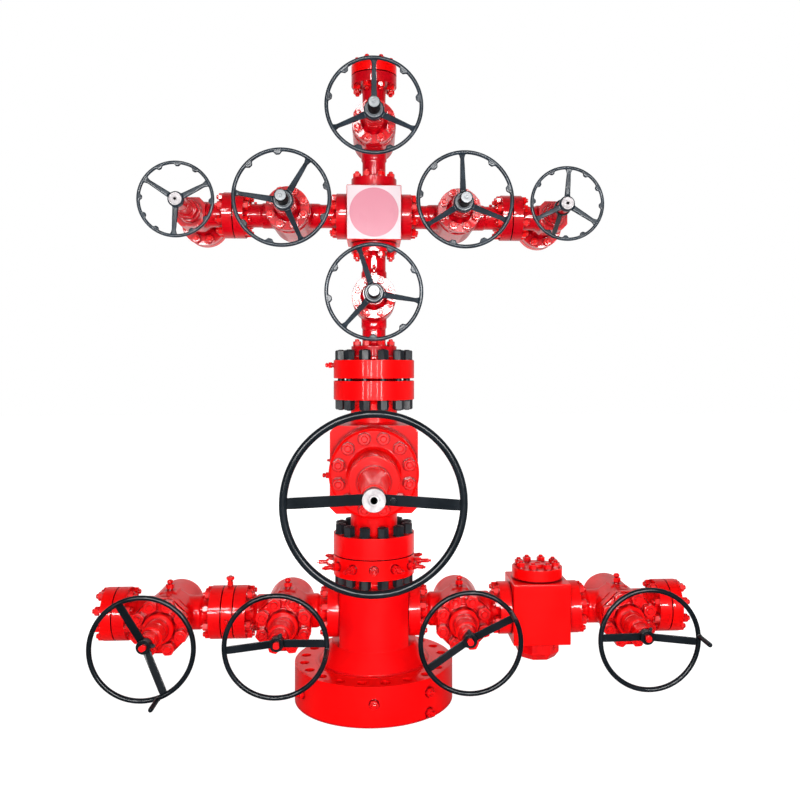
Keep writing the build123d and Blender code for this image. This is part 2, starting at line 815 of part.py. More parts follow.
# Adapter flange between the master valve and the upper tree
adapter_fitting_height = master_top + big_face_rise + adapter_thickness - flange_edge - adapter_fitting_drop
adapter_seat = Plane((-big_flange_radius, 0, adapter_fitting_height), z_dir=LEFT)
with BuildPart() as tubing_adapter:
    lower_steps = reversed_steps(flange_steps(adapter_thickness, big_flange_radius, big_face_rise))
    boss_steps = [
        (adapter_boss_height - flange_edge, adapter_boss_radius, adapter_boss_radius),
        (flange_edge, adapter_boss_radius, adapter_boss_radius - flange_edge),
    ]
    turned(Plane.XY.offset(master_top), lower_steps + boss_steps)
    fitting_pocket(adapter_seat, fitting_hex_flats)
save(tubing_adapter, "tubing_adapter")

# Upper tree: two valves in the upright, a cross, a valve in each wing and a cap
upper_master_centre = (0, 0, upper_master_height)
swab_centre = (0, 0, swab_height)
left_wing_centre = (-wing_reach, 0, cross_height)
right_wing_centre = (wing_reach, 0, cross_height)
upper_valves = (
    ("upper_master", upper_master_centre, UP, upper_half_length),
    ("swab", swab_centre, UP, upper_half_length),
    ("left_wing", left_wing_centre, RIGHT, wing_half_length),
    ("right_wing", right_wing_centre, RIGHT, wing_half_length),
)
for name, centre, way, half_length in upper_valves:
    save(upper_valve_body(centre, way, half_length), f"{name}_valve_body")
    save(upper_valve_bonnet(centre), f"{name}_bonnet")

with BuildPart() as cross_block:
    with BuildSketch(Plane.XY.offset(cross_height - cross_width / 2)) as cross_outline:
        Rectangle(cross_width, cross_width)
    extrude(amount=cross_width)
    chamfer(cross_block.edges(), block_edge)
save(cross_block, "cross_block")

with BuildPart() as tree_cap:
    turned(
        Plane.XY.offset(cap_height),
        reversed_steps(flange_steps(cap_thickness, upper_flange_radius, face_rise))
        + [(cap_boss_height, cap_boss_radius, cap_boss_radius - flange_edge)],
    )
save(tree_cap, "tree_cap")

# Chokes
left_choke_centre = (-choke_reach, 0, cross_height)
right_choke_centre = (choke_reach, 0, cross_height)
for name, centre, inward in (
    ("left_choke", left_choke_centre, RIGHT),
    ("right_choke", right_choke_centre, LEFT),
):
    save(choke_body(centre, inward), f"{name}_body")
    save(choke_bonnet(centre), f"{name}_bonnet")

with BuildPart() as choke_outlet_flanges:
    for centre in (left_choke_centre, right_choke_centre):
        back = Plane(origin=centre, x_dir=(1, 0, 0), z_dir=BACK).offset(choke_outlet_length)
        turned(back, reversed_steps(flange_steps(upper_flange_thickness, upper_flange_radius, face_rise)))
        outer_face = back.offset(face_rise + upper_flange_thickness)
        bore_plane_start = outer_face.offset(-upper_flange_thickness)
        bar(
            bore_plane_start,
            upper_flange_thickness + cut_overrun,
            choke_outlet_bore_radius,
            mode=Mode.SUBTRACT,
        )
save(choke_outlet_flanges, "choke_outlet_flanges")

with BuildPart() as choke_lock_bar:
    ring_plane = stem_plane(right_choke_centre).offset(choke_stem_start - lock_station)
    ring_inner_radius = choke_sleeve_radius + lock_clearance
    ring_outer_radius = ring_inner_radius + lock_collar_wall
    bar(ring_plane, lock_collar_width, ring_outer_radius)
    bar_plane = ring_plane.offset(lock_collar_width / 2 - lock_bar_thickness / 2)
    turned_plane = bar_plane.rotated((0, 0, -lock_bar_turn))
    with BuildSketch(turned_plane) as bar_outline:
        with Locations((0, -(ring_outer_radius + lock_bar_length) / 2)):
            Rectangle(lock_bar_width, ring_outer_radius + lock_bar_length)
    extrude(bar_outline.sketch, amount=lock_bar_thickness)
    bar(
        ring_plane.offset(-cut_overrun),
        lock_collar_width + 2 * cut_overrun,
        ring_inner_radius,
        mode=Mode.SUBTRACT,
    )
save(choke_lock_bar, "choke_lock_bar")

# Lower arms
left_inner_centre = (-inner_reach, 0, arm_height)
left_outer_centre = (-left_outer_reach, 0, arm_height)
right_inner_centre = (inner_reach, 0, arm_height)
right_outer_centre = (right_outer_reach, 0, arm_height)
lower_valves = (
    ("left_inner", left_inner_centre),
    ("left_outer", left_outer_centre),
    ("right_inner", right_inner_centre),
    ("right_outer", right_outer_centre),
)
for name, centre in lower_valves:
    save(lower_valve_body(centre), f"{name}_valve_body")
    save(lower_valve_bonnet(centre), f"{name}_bonnet")
save(end_flange((-left_end_joint, 0, arm_height), LEFT), "left_end_flange")
save(end_flange((right_end_joint, 0, arm_height), RIGHT), "right_end_flange")

spacer_middle = -inner_joint - spacer_length / 2
spacer_seat = Plane((spacer_middle, 0, arm_height + lower_flange_radius), x_dir=(1, 0, 0), z_dir=UP)
with BuildPart() as arm_spacer:
    plate_length = spacer_length - 2 * face_rise - 2 * flange_edge
    spacer_edge_radius = lower_flange_radius - flange_edge
    spacer_face_radius = lower_flange_radius * raised_face_share
    turned(
        bore_plane((-inner_joint, 0, arm_height), LEFT),
        [
            (face_rise, spacer_face_radius, spacer_face_radius),
            (flange_edge, spacer_edge_radius, lower_flange_radius),
            (plate_length, lower_flange_radius, lower_flange_radius),
            (flange_edge, lower_flange_radius, spacer_edge_radius),
            (face_rise, spacer_face_radius, spacer_face_radius),
        ],
    )
    fitting_pocket(spacer_seat, 2 * needle_shank_radius)
save(arm_spacer, "arm_spacer")

with BuildPart() as check_valve_block:
    with BuildSketch(Plane.XY.offset(check_block_bottom)) as check_outline:
        with Locations((check_reach, 0)):
            Rectangle(check_block_length, check_block_depth)
    extrude(amount=check_block_top - check_block_bottom)
    chamfer(check_valve_block.edges(), block_edge)
    nose_plane = Plane((check_reach, 0, check_block_bottom), x_dir=(1, 0, 0), z_dir=DOWN)
    prism(nose_plane, check_nose_length, check_nose_flats, 8)
    nose_sections = []
    for drop, flats in (
        (check_nose_length, check_nose_flats),
        (check_nose_length + check_nose_taper_length, check_nose_tip_flats),
    ):
        with BuildSketch(nose_plane.offset(drop)) as nose_outline:
            RegularPolygon(flats / 2, 8, major_radius=False, rotation=180 / 8)
        nose_sections.append(nose_outline.sketch.faces()[0])
    loft(nose_sections, ruled=True)
    seat_plane = Plane((check_reach, 0, check_block_top), x_dir=(1, 0, 0), z_dir=UP)
    bar(seat_plane, check_cap_seam, check_cap_seat_radius)
save(check_valve_block, "check_valve_block")

with BuildPart() as check_valve_cap:
    cap_plane = Plane((check_reach, 0, check_block_top + check_cap_seam), x_dir=(1, 0, 0), z_dir=UP)
    turned(
        cap_plane,
        [
            (flange_edge, check_cap_radius - flange_edge, check_cap_radius),
            (check_cap_thickness - 2 * flange_edge, check_cap_radius, check_cap_radius),
            (flange_edge, check_cap_radius, check_cap_radius - flange_edge),
            (check_cap_boss_height, check_cap_boss_radius, check_cap_boss_radius - flange_edge),
        ],
    )
save(check_valve_cap, "check_valve_cap")

# Small grease and bleed fittings, each on the seat cut for it
master_side = -master_block_width / 2
with BuildPart() as valve_fittings:
    for name, centre in lower_valves:
        fitting(lower_fitting_seat(centre).offset(-fitting_pocket_depth), lower_fitting_size_share)
    fitting(adapter_seat.offset(-fitting_pocket_depth))
    fitting(Plane((master_side, 0, master_axis_height - master_fitting_drop), z_dir=LEFT))
    fitting(Plane((master_side, 0, master_axis_height + master_plug_rise), z_dir=LEFT))
    spacer_foot = spacer_seat.offset(-fitting_pocket_depth)
    bar(spacer_foot, needle_shank_length, needle_shank_radius)
    prism(spacer_foot.offset(needle_shank_length), needle_hex_length, needle_hex_flats, 6)
save(valve_fittings, "valve_fittings")

# Hand wheels
for name, centre, turn in (
    ("upper_master", upper_master_centre, upper_master_spoke_turn),
    ("swab", swab_centre, swab_spoke_turn),
    ("left_wing", left_wing_centre, left_wing_spoke_turn),
    ("right_wing", right_wing_centre, right_wing_spoke_turn),
):
    save(cast_wheel(centre, upper_stem_start, turn, "upper"), f"{name}_wheel")
for name, centre, turn in (
    ("left_choke", left_choke_centre, left_choke_spoke_turn),
    ("right_choke", right_choke_centre, right_choke_spoke_turn),
):
    save(cast_wheel(centre, choke_stem_start, turn, "choke"), f"{name}_wheel")
for name, centre, turn, handle_turn in (
    ("left_inner", left_inner_centre, left_inner_spoke_turn, left_inner_spoke_turn - crank_handle_turn),
    ("left_outer", left_outer_centre, left_outer_spoke_turn, left_outer_spoke_turn - crank_handle_turn),
    ("right_inner", right_inner_centre, right_inner_spoke_turn, right_inner_spoke_turn + crank_handle_turn),
    ("right_outer", right_outer_centre, right_outer_spoke_turn, right_outer_spoke_turn + crank_handle_turn),
):
    save(crank_wheel(centre, turn, handle_turn), f"{name}_wheel")
save(big_wheel(master_centre), "master_wheel")
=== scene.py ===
"""Looks of an oil wellhead valve stack: castings, forgings, studs, fittings and hand wheels.

Metres. The origin is the centre of the base flange's lower face, Z is up and the wheels face -Y.
"""
import logging
from abc import ABC, abstractmethod
from dataclasses import dataclass, replace
from enum import Enum
from math import cos, pi, radians, sin
from random import Random
from typing import Any, Sequence

import bmesh
import bpy
from mathutils import Matrix, Vector


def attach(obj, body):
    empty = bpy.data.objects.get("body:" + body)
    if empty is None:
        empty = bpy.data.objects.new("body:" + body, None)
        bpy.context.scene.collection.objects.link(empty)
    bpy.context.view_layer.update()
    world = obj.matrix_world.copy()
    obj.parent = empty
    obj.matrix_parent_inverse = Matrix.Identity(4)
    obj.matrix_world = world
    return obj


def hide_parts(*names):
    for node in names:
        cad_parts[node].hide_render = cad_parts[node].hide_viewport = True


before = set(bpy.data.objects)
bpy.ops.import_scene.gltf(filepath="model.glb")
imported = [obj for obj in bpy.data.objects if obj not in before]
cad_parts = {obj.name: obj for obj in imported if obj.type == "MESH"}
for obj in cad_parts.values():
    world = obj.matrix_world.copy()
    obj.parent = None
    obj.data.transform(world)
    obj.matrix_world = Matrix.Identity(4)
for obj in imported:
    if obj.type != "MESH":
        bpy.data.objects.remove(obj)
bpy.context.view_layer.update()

LOG = logging.getLogger("valve_stack")
TREE = "tree"

# Axes of the valves: how high the arms and the wings lie, and where each valve sits on them.
ARM_HEIGHT = 0.513
WING_HEIGHT = 2.859
MASTER_HEIGHT = 1.372
ARM_VALVES = {"left_inner": -0.5075, "left_outer": -1.1905, "right_inner": 0.5075, "right_outer": 1.4605}
WING_VALVES = {"left_wing": -0.489, "right_wing": 0.489}
UPRIGHT_VALVES = {"upper_master": 2.362, "swab": 3.356}
CHOKE_REACH = 1.060
RAISED_FACE = 0.003

Item = bpy.types.Object
Colour = tuple[float, float, float, float]
Profile = Sequence[tuple[float, float]]


class Slot(Enum):
    """The record's material slots."""

    RED = "red_paint"
    BLACK = "black_paint"
    GREY = "grey_cast"


class Way(Enum):
    """Directions that a piece can stand in: its own x direction, then its own axis."""

    FRONT = ((1, 0, 0), (0, -1, 0))
    BACK = ((-1, 0, 0), (0, 1, 0))
    LEFT = ((0, -1, 0), (-1, 0, 0))
    RIGHT = ((0, 1, 0), (1, 0, 0))
    UP = ((1, 0, 0), (0, 0, 1))
    DOWN = ((1, 0, 0), (0, 0, -1))

    def at(self, x: float = 0.0, y: float = 0.0, z: float = 0.0, turn: float = 0.0) -> Matrix:
        """Return the matrix that stands a piece at a point.

        Args:
            x: Place along X.
            y: Place along Y.
            z: Place along Z.
            turn: Degrees that the piece is turned about its own axis first.

        Returns:
            The matrix from the piece's own frame to the stack's.
        """
        across, along = (Vector(part) for part in self.value)
        turned = Matrix((across, along.cross(across), along)).transposed().to_4x4()
        return Matrix.Translation((x, y, z)) @ turned @ Matrix.Rotation(radians(turn), 4, "Z")


def radial(radius: float, turn: float, height: float) -> Matrix:
    """Return the matrix that stands a piece out from the upright.

    Args:
        radius: Distance from the upright's axis.
        turn: Degrees round the axis from +X.
        height: Place along Z.

    Returns:
        The matrix from the piece's own frame to the stack's.
    """
    return Matrix.Rotation(radians(turn), 4, "Z") @ Way.RIGHT.at(radius, 0, height)


class Bench:
    """Modelling steps that all sub-assemblies share."""

    @staticmethod
    def pick(*items: Item) -> None:
        """Select these objects and nothing else, with the first one active."""
        bpy.ops.object.select_all(action="DESELECT")
        for item in items:
            item.select_set(True)
        bpy.context.view_layer.objects.active = items[0]

    @staticmethod
    def turn(profile: Profile, sides: int = 64) -> Item:
        """Raise a disc through a profile, as on a lathe whose axis is Z.

        Args:
            profile: Pairs of a level and a radius, from the lowest up.
            sides: Number of flats round the piece.

        Returns:
            The closed piece, in its own frame.
        """
        bpy.ops.object.select_all(action="DESELECT")
        level, radius = profile[0]
        bpy.ops.mesh.primitive_circle_add(vertices=sides, radius=radius, fill_type="NGON")
        item = bpy.context.active_object
        bpy.ops.object.mode_set(mode="EDIT")
        bpy.ops.mesh.select_all(action="SELECT")
        bpy.ops.transform.translate(value=(0, 0, level))
        for next_level, next_radius in profile[1:]:
            rise = (0, 0, next_level - level)
            bpy.ops.mesh.extrude_region_move(TRANSFORM_OT_translate={"value": rise})
            if next_radius != radius:
                share = next_radius / radius
                bpy.ops.transform.resize(value=(share, share, 1), center_override=(0, 0, next_level))
            level, radius = next_level, next_radius
        bpy.ops.mesh.select_all(action="SELECT")
        bpy.ops.mesh.normals_make_consistent(inside=False)
        bpy.ops.object.mode_set(mode="OBJECT")
        return item

    @staticmethod
    def prism(sides: int, flats: float, steps: Profile) -> Item:
        """Raise a regular prism with a flat on each side of X and Y.

        Args:
            sides: Number of flats.
            flats: Distance across the flats.
            steps: Pairs of a level and a share of the full width, from the lowest up.

        Returns:
            The closed piece, in its own frame.
        """
        corner = flats / 2 / cos(pi / sides)
        item = Bench.turn([(level, corner * share) for level, share in steps], sides)
        item.data.transform(Matrix.Rotation(pi / sides, 4, "Z"))
        return item

    @staticmethod
    def block(size: tuple[float, float, float], corner: float = 0.0) -> Item:
        """Shape a block round the origin, with its four edges along Y cut off.

        Args:
            size: Width, depth and height.
            corner: How far each corner is cut back.

        Returns:
            The closed piece.
        """
        bpy.ops.object.select_all(action="DESELECT")
        bpy.ops.mesh.primitive_cube_add(size=1)
        item = bpy.context.active_object
        bpy.ops.object.mode_set(mode="EDIT")
        bpy.ops.mesh.select_all(action="SELECT")
        bpy.ops.transform.resize(value=size, center_override=(0, 0, 0))
        if corner:
            mesh = bmesh.from_edit_mesh(item.data)
            for edge in mesh.edges:
                start, end = (vertex.co for vertex in edge.verts)
                edge.select_set(abs(start.y - end.y) > size[1] / 2)
            bmesh.update_edit_mesh(item.data)
            bpy.ops.mesh.bevel(offset=corner, segments=1, affect="EDGES")
        bpy.ops.object.mode_set(mode="OBJECT")
        return item

    @staticmethod
    def beam(stations: Sequence[tuple[float, float, float, float]], turn: float) -> Item:
        """Draw a bar out from a wheel's axis through its stations.

        Args:
            stations: For each, its radius, its level, its width and its depth.
            turn: Degrees from +X round the axis.

        Returns:
            The closed bar, in the wheel's own frame.
        """
        bpy.ops.object.select_all(action="DESELECT")
        radius, level, width, depth = stations[0]
        bpy.ops.mesh.primitive_plane_add(size=1)
        item = bpy.context.active_object
        bpy.ops.object.mode_set(mode="EDIT")
        bpy.ops.mesh.select_all(action="SELECT")
        bpy.ops.transform.resize(value=(width, depth, 1), center_override=(0, 0, 0))
        bpy.ops.transform.translate(value=(0, level, radius))
        for next_radius, next_level, next_width, next_depth in stations[1:]:
            step = (0, next_level - level, next_radius - radius)
            bpy.ops.mesh.extrude_region_move(TRANSFORM_OT_translate={"value": step})
            shares = (next_width / width, next_depth / depth, 1)
            bpy.ops.transform.resize(value=shares, center_override=(0, next_level, next_radius))
            radius, level, width, depth = next_radius, next_level, next_width, next_depth
        bpy.ops.mesh.select_all(action="SELECT")
        bpy.ops.mesh.normals_make_consistent(inside=False)
        bpy.ops.object.mode_set(mode="OBJECT")
        outward = Matrix(((0, 0, 1), (1, 0, 0), (0, 1, 0))).to_4x4()
        item.data.transform(Matrix.Rotation(radians(turn), 4, "Z") @ outward)
        return item

    @staticmethod
    def hoop(middle: float, tube: float, level: float, sides: int = 20) -> Item:
        """Bend a tube into a wheel's rim at a level.

        Args:
            middle: Radius to the tube's own middle.
            tube: Radius of the tube.
            level: Place along the wheel's axis.
            sides: Number of flats round the tube.

        Returns:
            The rim, in the wheel's own frame.
        """
        bpy.ops.object.select_all(action="DESELECT")
        bpy.ops.mesh.primitive_torus_add(
            major_radius=middle, minor_radius=tube, major_segments=112, minor_segments=sides
        )
        item = bpy.context.active_object
        bpy.ops.object.mode_set(mode="EDIT")
        bpy.ops.mesh.select_all(action="SELECT")
        bpy.ops.transform.translate(value=(0, 0, level))
        bpy.ops.object.mode_set(mode="OBJECT")
        return item

    @staticmethod
    def apply(item: Item, kind: str, **settings: Any) -> Item:
        """Add a modifier of a kind with its settings, and apply it."""
        Bench.pick(item)
        modifier = item.modifiers.new(kind.lower(), kind)
        for name, value in settings.items():
            setattr(modifier, name, value)
        bpy.ops.object.modifier_apply(modifier=modifier.name)
        return item

    @staticmethod
    def soften(item: Item, width: float, segments: int = 2, angle: float = 30.0) -> Item:
        """Round a piece's sharp edges and shade it.

        Args:
            item: The piece.
            width: How far each edge is rounded back.
            segments: Number of faces round each edge.
            angle: Degrees between two faces above which their edge is rounded.

        Returns:
            The same piece.
        """
        Bench.apply(
            item, "BEVEL", width=width, segments=segments, limit_method="ANGLE", angle_limit=radians(angle)
        )
        return Bench.shade(item)

    @staticmethod
    def shade(item: Item, angle: float = 32.0) -> Item:
        """Shade a piece smooth, but for edges sharper than the angle, and keep its large faces flat."""
        Bench.pick(item)
        bpy.ops.object.shade_smooth_by_angle(angle=radians(angle))
        return Bench.apply(item, "WEIGHTED_NORMAL", keep_sharp=True)

    @staticmethod
    def join(items: Sequence[Item]) -> Item:
        """Join pieces into the first of them."""
        Bench.pick(*items)
        if len(items) > 1:
            bpy.ops.object.join()
        return items[0]

    @staticmethod
    def fuse(items: Sequence[Item], grain: float, passes: int) -> Item:
        """Run closed shapes together under one skin, with the fillets of a casting.

        Args:
            items: The shapes, which overlap.
            grain: Size of the skin's faces.
            passes: How often the skin is smoothed.

        Returns:
            One closed piece.
        """
        item = Bench.join(items)
        Bench.apply(item, "REMESH", mode="VOXEL", voxel_size=grain, use_smooth_shade=True)
        return Bench.apply(item, "SMOOTH", factor=0.5, iterations=passes)

    @staticmethod
    def carve(item: Item, tool: Item, operation: str = "DIFFERENCE") -> Item:
        """Cut a piece with another one, which is used up."""
        Bench.apply(item, "BOOLEAN", operation=operation, object=tool, solver="EXACT")
        bpy.data.objects.remove(tool)
        return item

    @staticmethod
    def stand(item: Item, place: Matrix) -> Item:
        """Move a piece's mesh into its place."""
        item.data.transform(place)
        return item

    @staticmethod
    def twin(item: Item, place: Matrix) -> Item:
        """Copy a piece, with its own mesh, into a place."""
        copy = item.copy()
        copy.data = item.data.copy()
        bpy.context.scene.collection.objects.link(copy)
        return Bench.stand(copy, place)

    @staticmethod
    def spread(item: Item, places: Sequence[Matrix]) -> Item:
        """Copy a piece into several places, join the copies and drop the pattern."""
        copies = [Bench.twin(item, place) for place in places]
        bpy.data.objects.remove(item)
        return Bench.join(copies)

    @staticmethod
    def ring(item: Item, count: int, radius: float, level: float = 0.0, first_turn: float = 0.0) -> Item:
        """Copy a piece round Z, join the copies and drop the pattern.

        Args:
            item: The piece, as it stands on +X before it is moved out.
            count: Number of copies.
            radius: Distance from Z.
            level: Height of the ring.
            first_turn: Degrees from +X to the first copy.

        Returns:
            The joined ring.
        """
        turns = [Matrix.Rotation(radians(first_turn + 360 * index / count), 4, "Z") for index in range(count)]
        return Bench.spread(item, [turn @ Matrix.Translation((radius, 0, level)) for turn in turns])


class NodeDesk:
    """Places shader nodes in one tree and links them."""

    def __init__(self, tree: bpy.types.NodeTree) -> None:
        """Keep the tree that the nodes go into."""
        self.tree = tree

    def add(self, kind: str, inputs: dict[Any, Any] | None = None, **settings: Any) -> bpy.types.Node:
        """Add a node.

        Args:
            kind: The node's type.
            inputs: For each socket's name or number, a value or the socket that feeds it.
            settings: The node's own settings.

        Returns:
            The node.
        """
        node = self.tree.nodes.new(kind)
        for name, value in settings.items():
            setattr(node, name, value)
        for key, value in (inputs or {}).items():
            if isinstance(value, bpy.types.NodeSocket):
                self.tree.links.new(value, node.inputs[key])
            else:
                node.inputs[key].default_value = value
        return node

    def group(self, tree: bpy.types.NodeTree, **inputs: Any) -> bpy.types.Node:
        """Add a node group with its values, or the sockets that feed it."""
        return self.add("ShaderNodeGroup", inputs, node_tree=tree)

    def math(self, operation: str, first: Any, second: Any = 0.0) -> bpy.types.NodeSocket:
        """Return the result of a sum of two values or sockets, kept from 0 to 1."""
        node = self.add("ShaderNodeMath", {0: first, 1: second}, operation=operation, use_clamp=True)
        return node.outputs[0]

    def span(self, value: Any, low: float, high: float, start: Any, end: Any) -> bpy.types.NodeSocket:
        """Return a value's place between low and high as a number from start to end."""
        keys = {"Value": value, "From Min": low, "From Max": high, "To Min": start, "To Max": end}
        return self.add("ShaderNodeMapRange", keys).outputs[0]

    def blend(self, share: Any, first: Any, second: Any) -> bpy.types.NodeSocket:
        """Return the mix of two colours by a share."""
        node = self.add("ShaderNodeMix", data_type="RGBA")
        for socket, value in ((node.inputs[0], share), (node.inputs[6], first), (node.inputs[7], second)):
            if isinstance(value, bpy.types.NodeSocket):
                self.tree.links.new(value, socket)
            else:
                socket.default_value = value
        return node.outputs[2]


class Effects:
    """Shader node groups that the finishes share, each built once."""

    def __init__(self) -> None:
        """Build the groups."""
        self.film = self._film()
        self.rub = self._rub()
        self.dust = self._dust()
        self.milling_and_reflection = self._milling_and_reflection()
        # The crease group paints shade into inner corners.
        self.crease_shade = self._painted_shade_group()

    @staticmethod
    def _start(
        name: str, inputs: dict[str, tuple[str, Any]], outputs: dict[str, str]
    ) -> tuple[NodeDesk, bpy.types.Node, bpy.types.Node]:
        """Open a group.

        Args:
            name: The group's name.
            inputs: For each input, its socket type and value.
            outputs: For each output, its socket type.

        Returns:
            The group's desk, its input node and its output node.
        """
        tree = bpy.data.node_groups.new(name, "ShaderNodeTree")
        for socket_name, (kind, value) in inputs.items():
            socket = tree.interface.new_socket(socket_name, in_out="INPUT", socket_type=kind)
            if value is not None:
                socket.default_value = value
        for socket_name, kind in outputs.items():
            tree.interface.new_socket(socket_name, in_out="OUTPUT", socket_type=kind)
        desk = NodeDesk(tree)
        return desk, desk.add("NodeGroupInput"), desk.add("NodeGroupOutput")

    def _film(self) -> bpy.types.NodeTree:
        """Build the paint film: a mottled colour, an uneven gloss and an orange-peel height."""
        desk, given, result = self._start(
            "paint_film",
            {
                "Vector": ("NodeSocketVector", None),
                "Colour": ("NodeSocketColor", None),
                "Shade": ("NodeSocketColor", None),
                "Mottle": ("NodeSocketFloat", 5.0),
                "Peel": ("NodeSocketFloat", 160.0),
                "Smoothest": ("NodeSocketFloat", 0.2),
                "Roughest": ("NodeSocketFloat", 0.4),
            },
            {"Colour": "NodeSocketColor", "Roughness": "NodeSocketFloat", "Height": "NodeSocketFloat"},
        )
        place, mottle = given.outputs["Vector"], given.outputs["Mottle"]
        broad = desk.add("ShaderNodeTexNoise", {"Vector": place, "Scale": mottle, "Detail": 4.0})
        share = desk.span(broad.outputs[0], 0.35, 0.7, 0.0, 1.0)
        colour = desk.blend(share, given.outputs["Colour"], given.outputs["Shade"])
        streak_place = desk.add("ShaderNodeVectorMath", {0: place, 1: (2.2, 2.2, 0.9)}, operation="MULTIPLY")
        streak = desk.add("ShaderNodeTexNoise", {"Vector": streak_place.outputs[0], "Scale": mottle})
        gloss = desk.span(
            streak.outputs[0], 0.3, 0.75, given.outputs["Smoothest"], given.outputs["Roughest"]
        )
        peel = desk.add(
            "ShaderNodeTexNoise", {"Vector": place, "Scale": given.outputs["Peel"], "Detail": 1.0}
        )
        for name, socket in (("Colour", colour), ("Roughness", gloss), ("Height", peel.outputs[0])):
            desk.tree.links.new(socket, result.inputs[name])
        return desk.tree

    def _rub(self) -> bpy.types.NodeTree:
        """Build edge wear: a mask of the edges where hands and spanners rub, broken by grain."""
        desk, given, result = self._start(
            "edge_rub",
            {
                "Vector": ("NodeSocketVector", None),
                "Width": ("NodeSocketFloat", 0.003),
                "Amount": ("NodeSocketFloat", 0.6),
            },
            {"Mask": "NodeSocketFloat"},
        )
        round_edge = desk.add("ShaderNodeBevel", {"Radius": given.outputs["Width"]}, samples=4)
        facing = desk.add("ShaderNodeNewGeometry")
        closeness = desk.add(
            "ShaderNodeVectorMath",
            {0: round_edge.outputs[0], 1: facing.outputs["Normal"]},
            operation="DOT_PRODUCT",
        )
        edge = desk.span(closeness.outputs["Value"], 0.99, 0.86, 0.0, 1.0)
        grain = desk.add(
            "ShaderNodeTexNoise", {"Vector": given.outputs["Vector"], "Scale": 45.0, "Detail": 5.0}
        )
        broken = desk.math("MULTIPLY", edge, desk.span(grain.outputs[0], 0.42, 0.62, 0.0, 1.0))
        mask = desk.math("MULTIPLY", broken, given.outputs["Amount"])
        desk.tree.links.new(mask, result.inputs["Mask"])
        return desk.tree

    def _dust(self) -> bpy.types.NodeTree:
        """Build settled dust: a mask of the faces that look up, in uneven drifts."""
        desk, given, result = self._start(
            "settled_dust",
            {"Vector": ("NodeSocketVector", None), "Amount": ("NodeSocketFloat", 0.2)},
            {"Mask": "NodeSocketFloat"},
        )
        facing = desk.add("ShaderNodeNewGeometry")
        parts = desk.add("ShaderNodeSeparateXYZ", {0: facing.outputs["Normal"]})
        upward = desk.span(parts.outputs[2], 0.5, 1.0, 0.0, 1.0)
        drift = desk.add(
            "ShaderNodeTexNoise", {"Vector": given.outputs["Vector"], "Scale": 14.0, "Detail": 6.0}
        )
        patch = desk.math("MULTIPLY", upward, desk.span(drift.outputs[0], 0.35, 0.75, 0.2, 1.0))
        mask = desk.math("MULTIPLY", patch, given.outputs["Amount"])
        desk.tree.links.new(mask, result.inputs["Mask"])
        return desk.tree

    def _painted_shade_group(self) -> bpy.types.NodeTree:
        """Build painted shade in inner corners: an ambient occlusion mask that grows towards each crease."""
        desk, given, result = self._start(
            "painted_crease_shade",
            {"Width": ("NodeSocketFloat", 0.02), "Amount": ("NodeSocketFloat", 0.8)},
            {"Mask": "NodeSocketFloat"},
        )
        # Ambient occlusion darkens the colour towards inner corners as painted shade.
        shelter = desk.add("ShaderNodeAmbientOcclusion", {"Distance": given.outputs["Width"]}, samples=6)
        deep = desk.span(shelter.outputs["AO"], 0.94, 0.50, 0.0, 1.0)
        desk.tree.links.new(desk.math("MULTIPLY", deep, given.outputs["Amount"]), result.inputs["Mask"])
        return desk.tree

    def _milling_and_reflection(self) -> bpy.types.NodeTree:
        """Build a cutter's marks on a front face: fine rings, the face's mask for a painted reflection and its
        corners' mask for a painted highlight.
        """
        desk, given, result = self._start(
            "milling_marks_and_reflection",
            {
                "Vector": ("NodeSocketVector", None),
                "Middle": ("NodeSocketVector", None),
                "Reach": ("NodeSocketFloat", 0.15),
            },
            {"Height": "NodeSocketFloat", "Face": "NodeSocketFloat", "CornerHighlight": "NodeSocketFloat"},
        )
        place, middle, kind = given.outputs["Vector"], given.outputs["Middle"], "ShaderNodeVectorMath"
        away = desk.add(kind, {0: place, 1: middle}, operation="SUBTRACT").outputs[0]
        flat = desk.add(kind, {0: away, 1: (1.0, 0.0, 1.0)}, operation="MULTIPLY").outputs[0]
        distance = desk.add(kind, {0: flat}, operation="LENGTH").outputs["Value"]
        rings = desk.add(
            "ShaderNodeTexWave", {"Vector": flat, "Scale": 34.0, "Distortion": 0.6, "Detail": 2.0},
            wave_type="RINGS", rings_direction="Y",
        )
        # The face that looks forward takes a painted reflection, and its corners beyond the cutter's reach take a
        # painted highlight.
        facing = desk.add("ShaderNodeNewGeometry")
        forward = desk.add("ShaderNodeSeparateXYZ", {0: facing.outputs["Normal"]}).outputs[1]
        face = desk.span(forward, -0.97, -0.85, 1.0, 0.0)
        beyond = desk.add("ShaderNodeMath", {0: distance, 1: given.outputs["Reach"]}, operation="SUBTRACT")
        corners = desk.math("MULTIPLY", desk.span(beyond.outputs[0], 0.0, 0.003, 0.0, 1.0), face)
        height = desk.math("MULTIPLY", rings.outputs["Fac"], face)
        values = {"Height": height, "Face": face, "CornerHighlight": corners}
        for name, socket in values.items():
            desk.tree.links.new(socket, result.inputs[name])
        return desk.tree


@dataclass(frozen=True)
class MillingAndReflection:
    """A milled front face: its middle, how far the cutter's arc reaches, the colour of its painted reflection and
    the colour of the painted highlight on its corners.
    """

    middle: tuple[float, float, float]
    reach: float
    colour: Colour
    corners: Colour


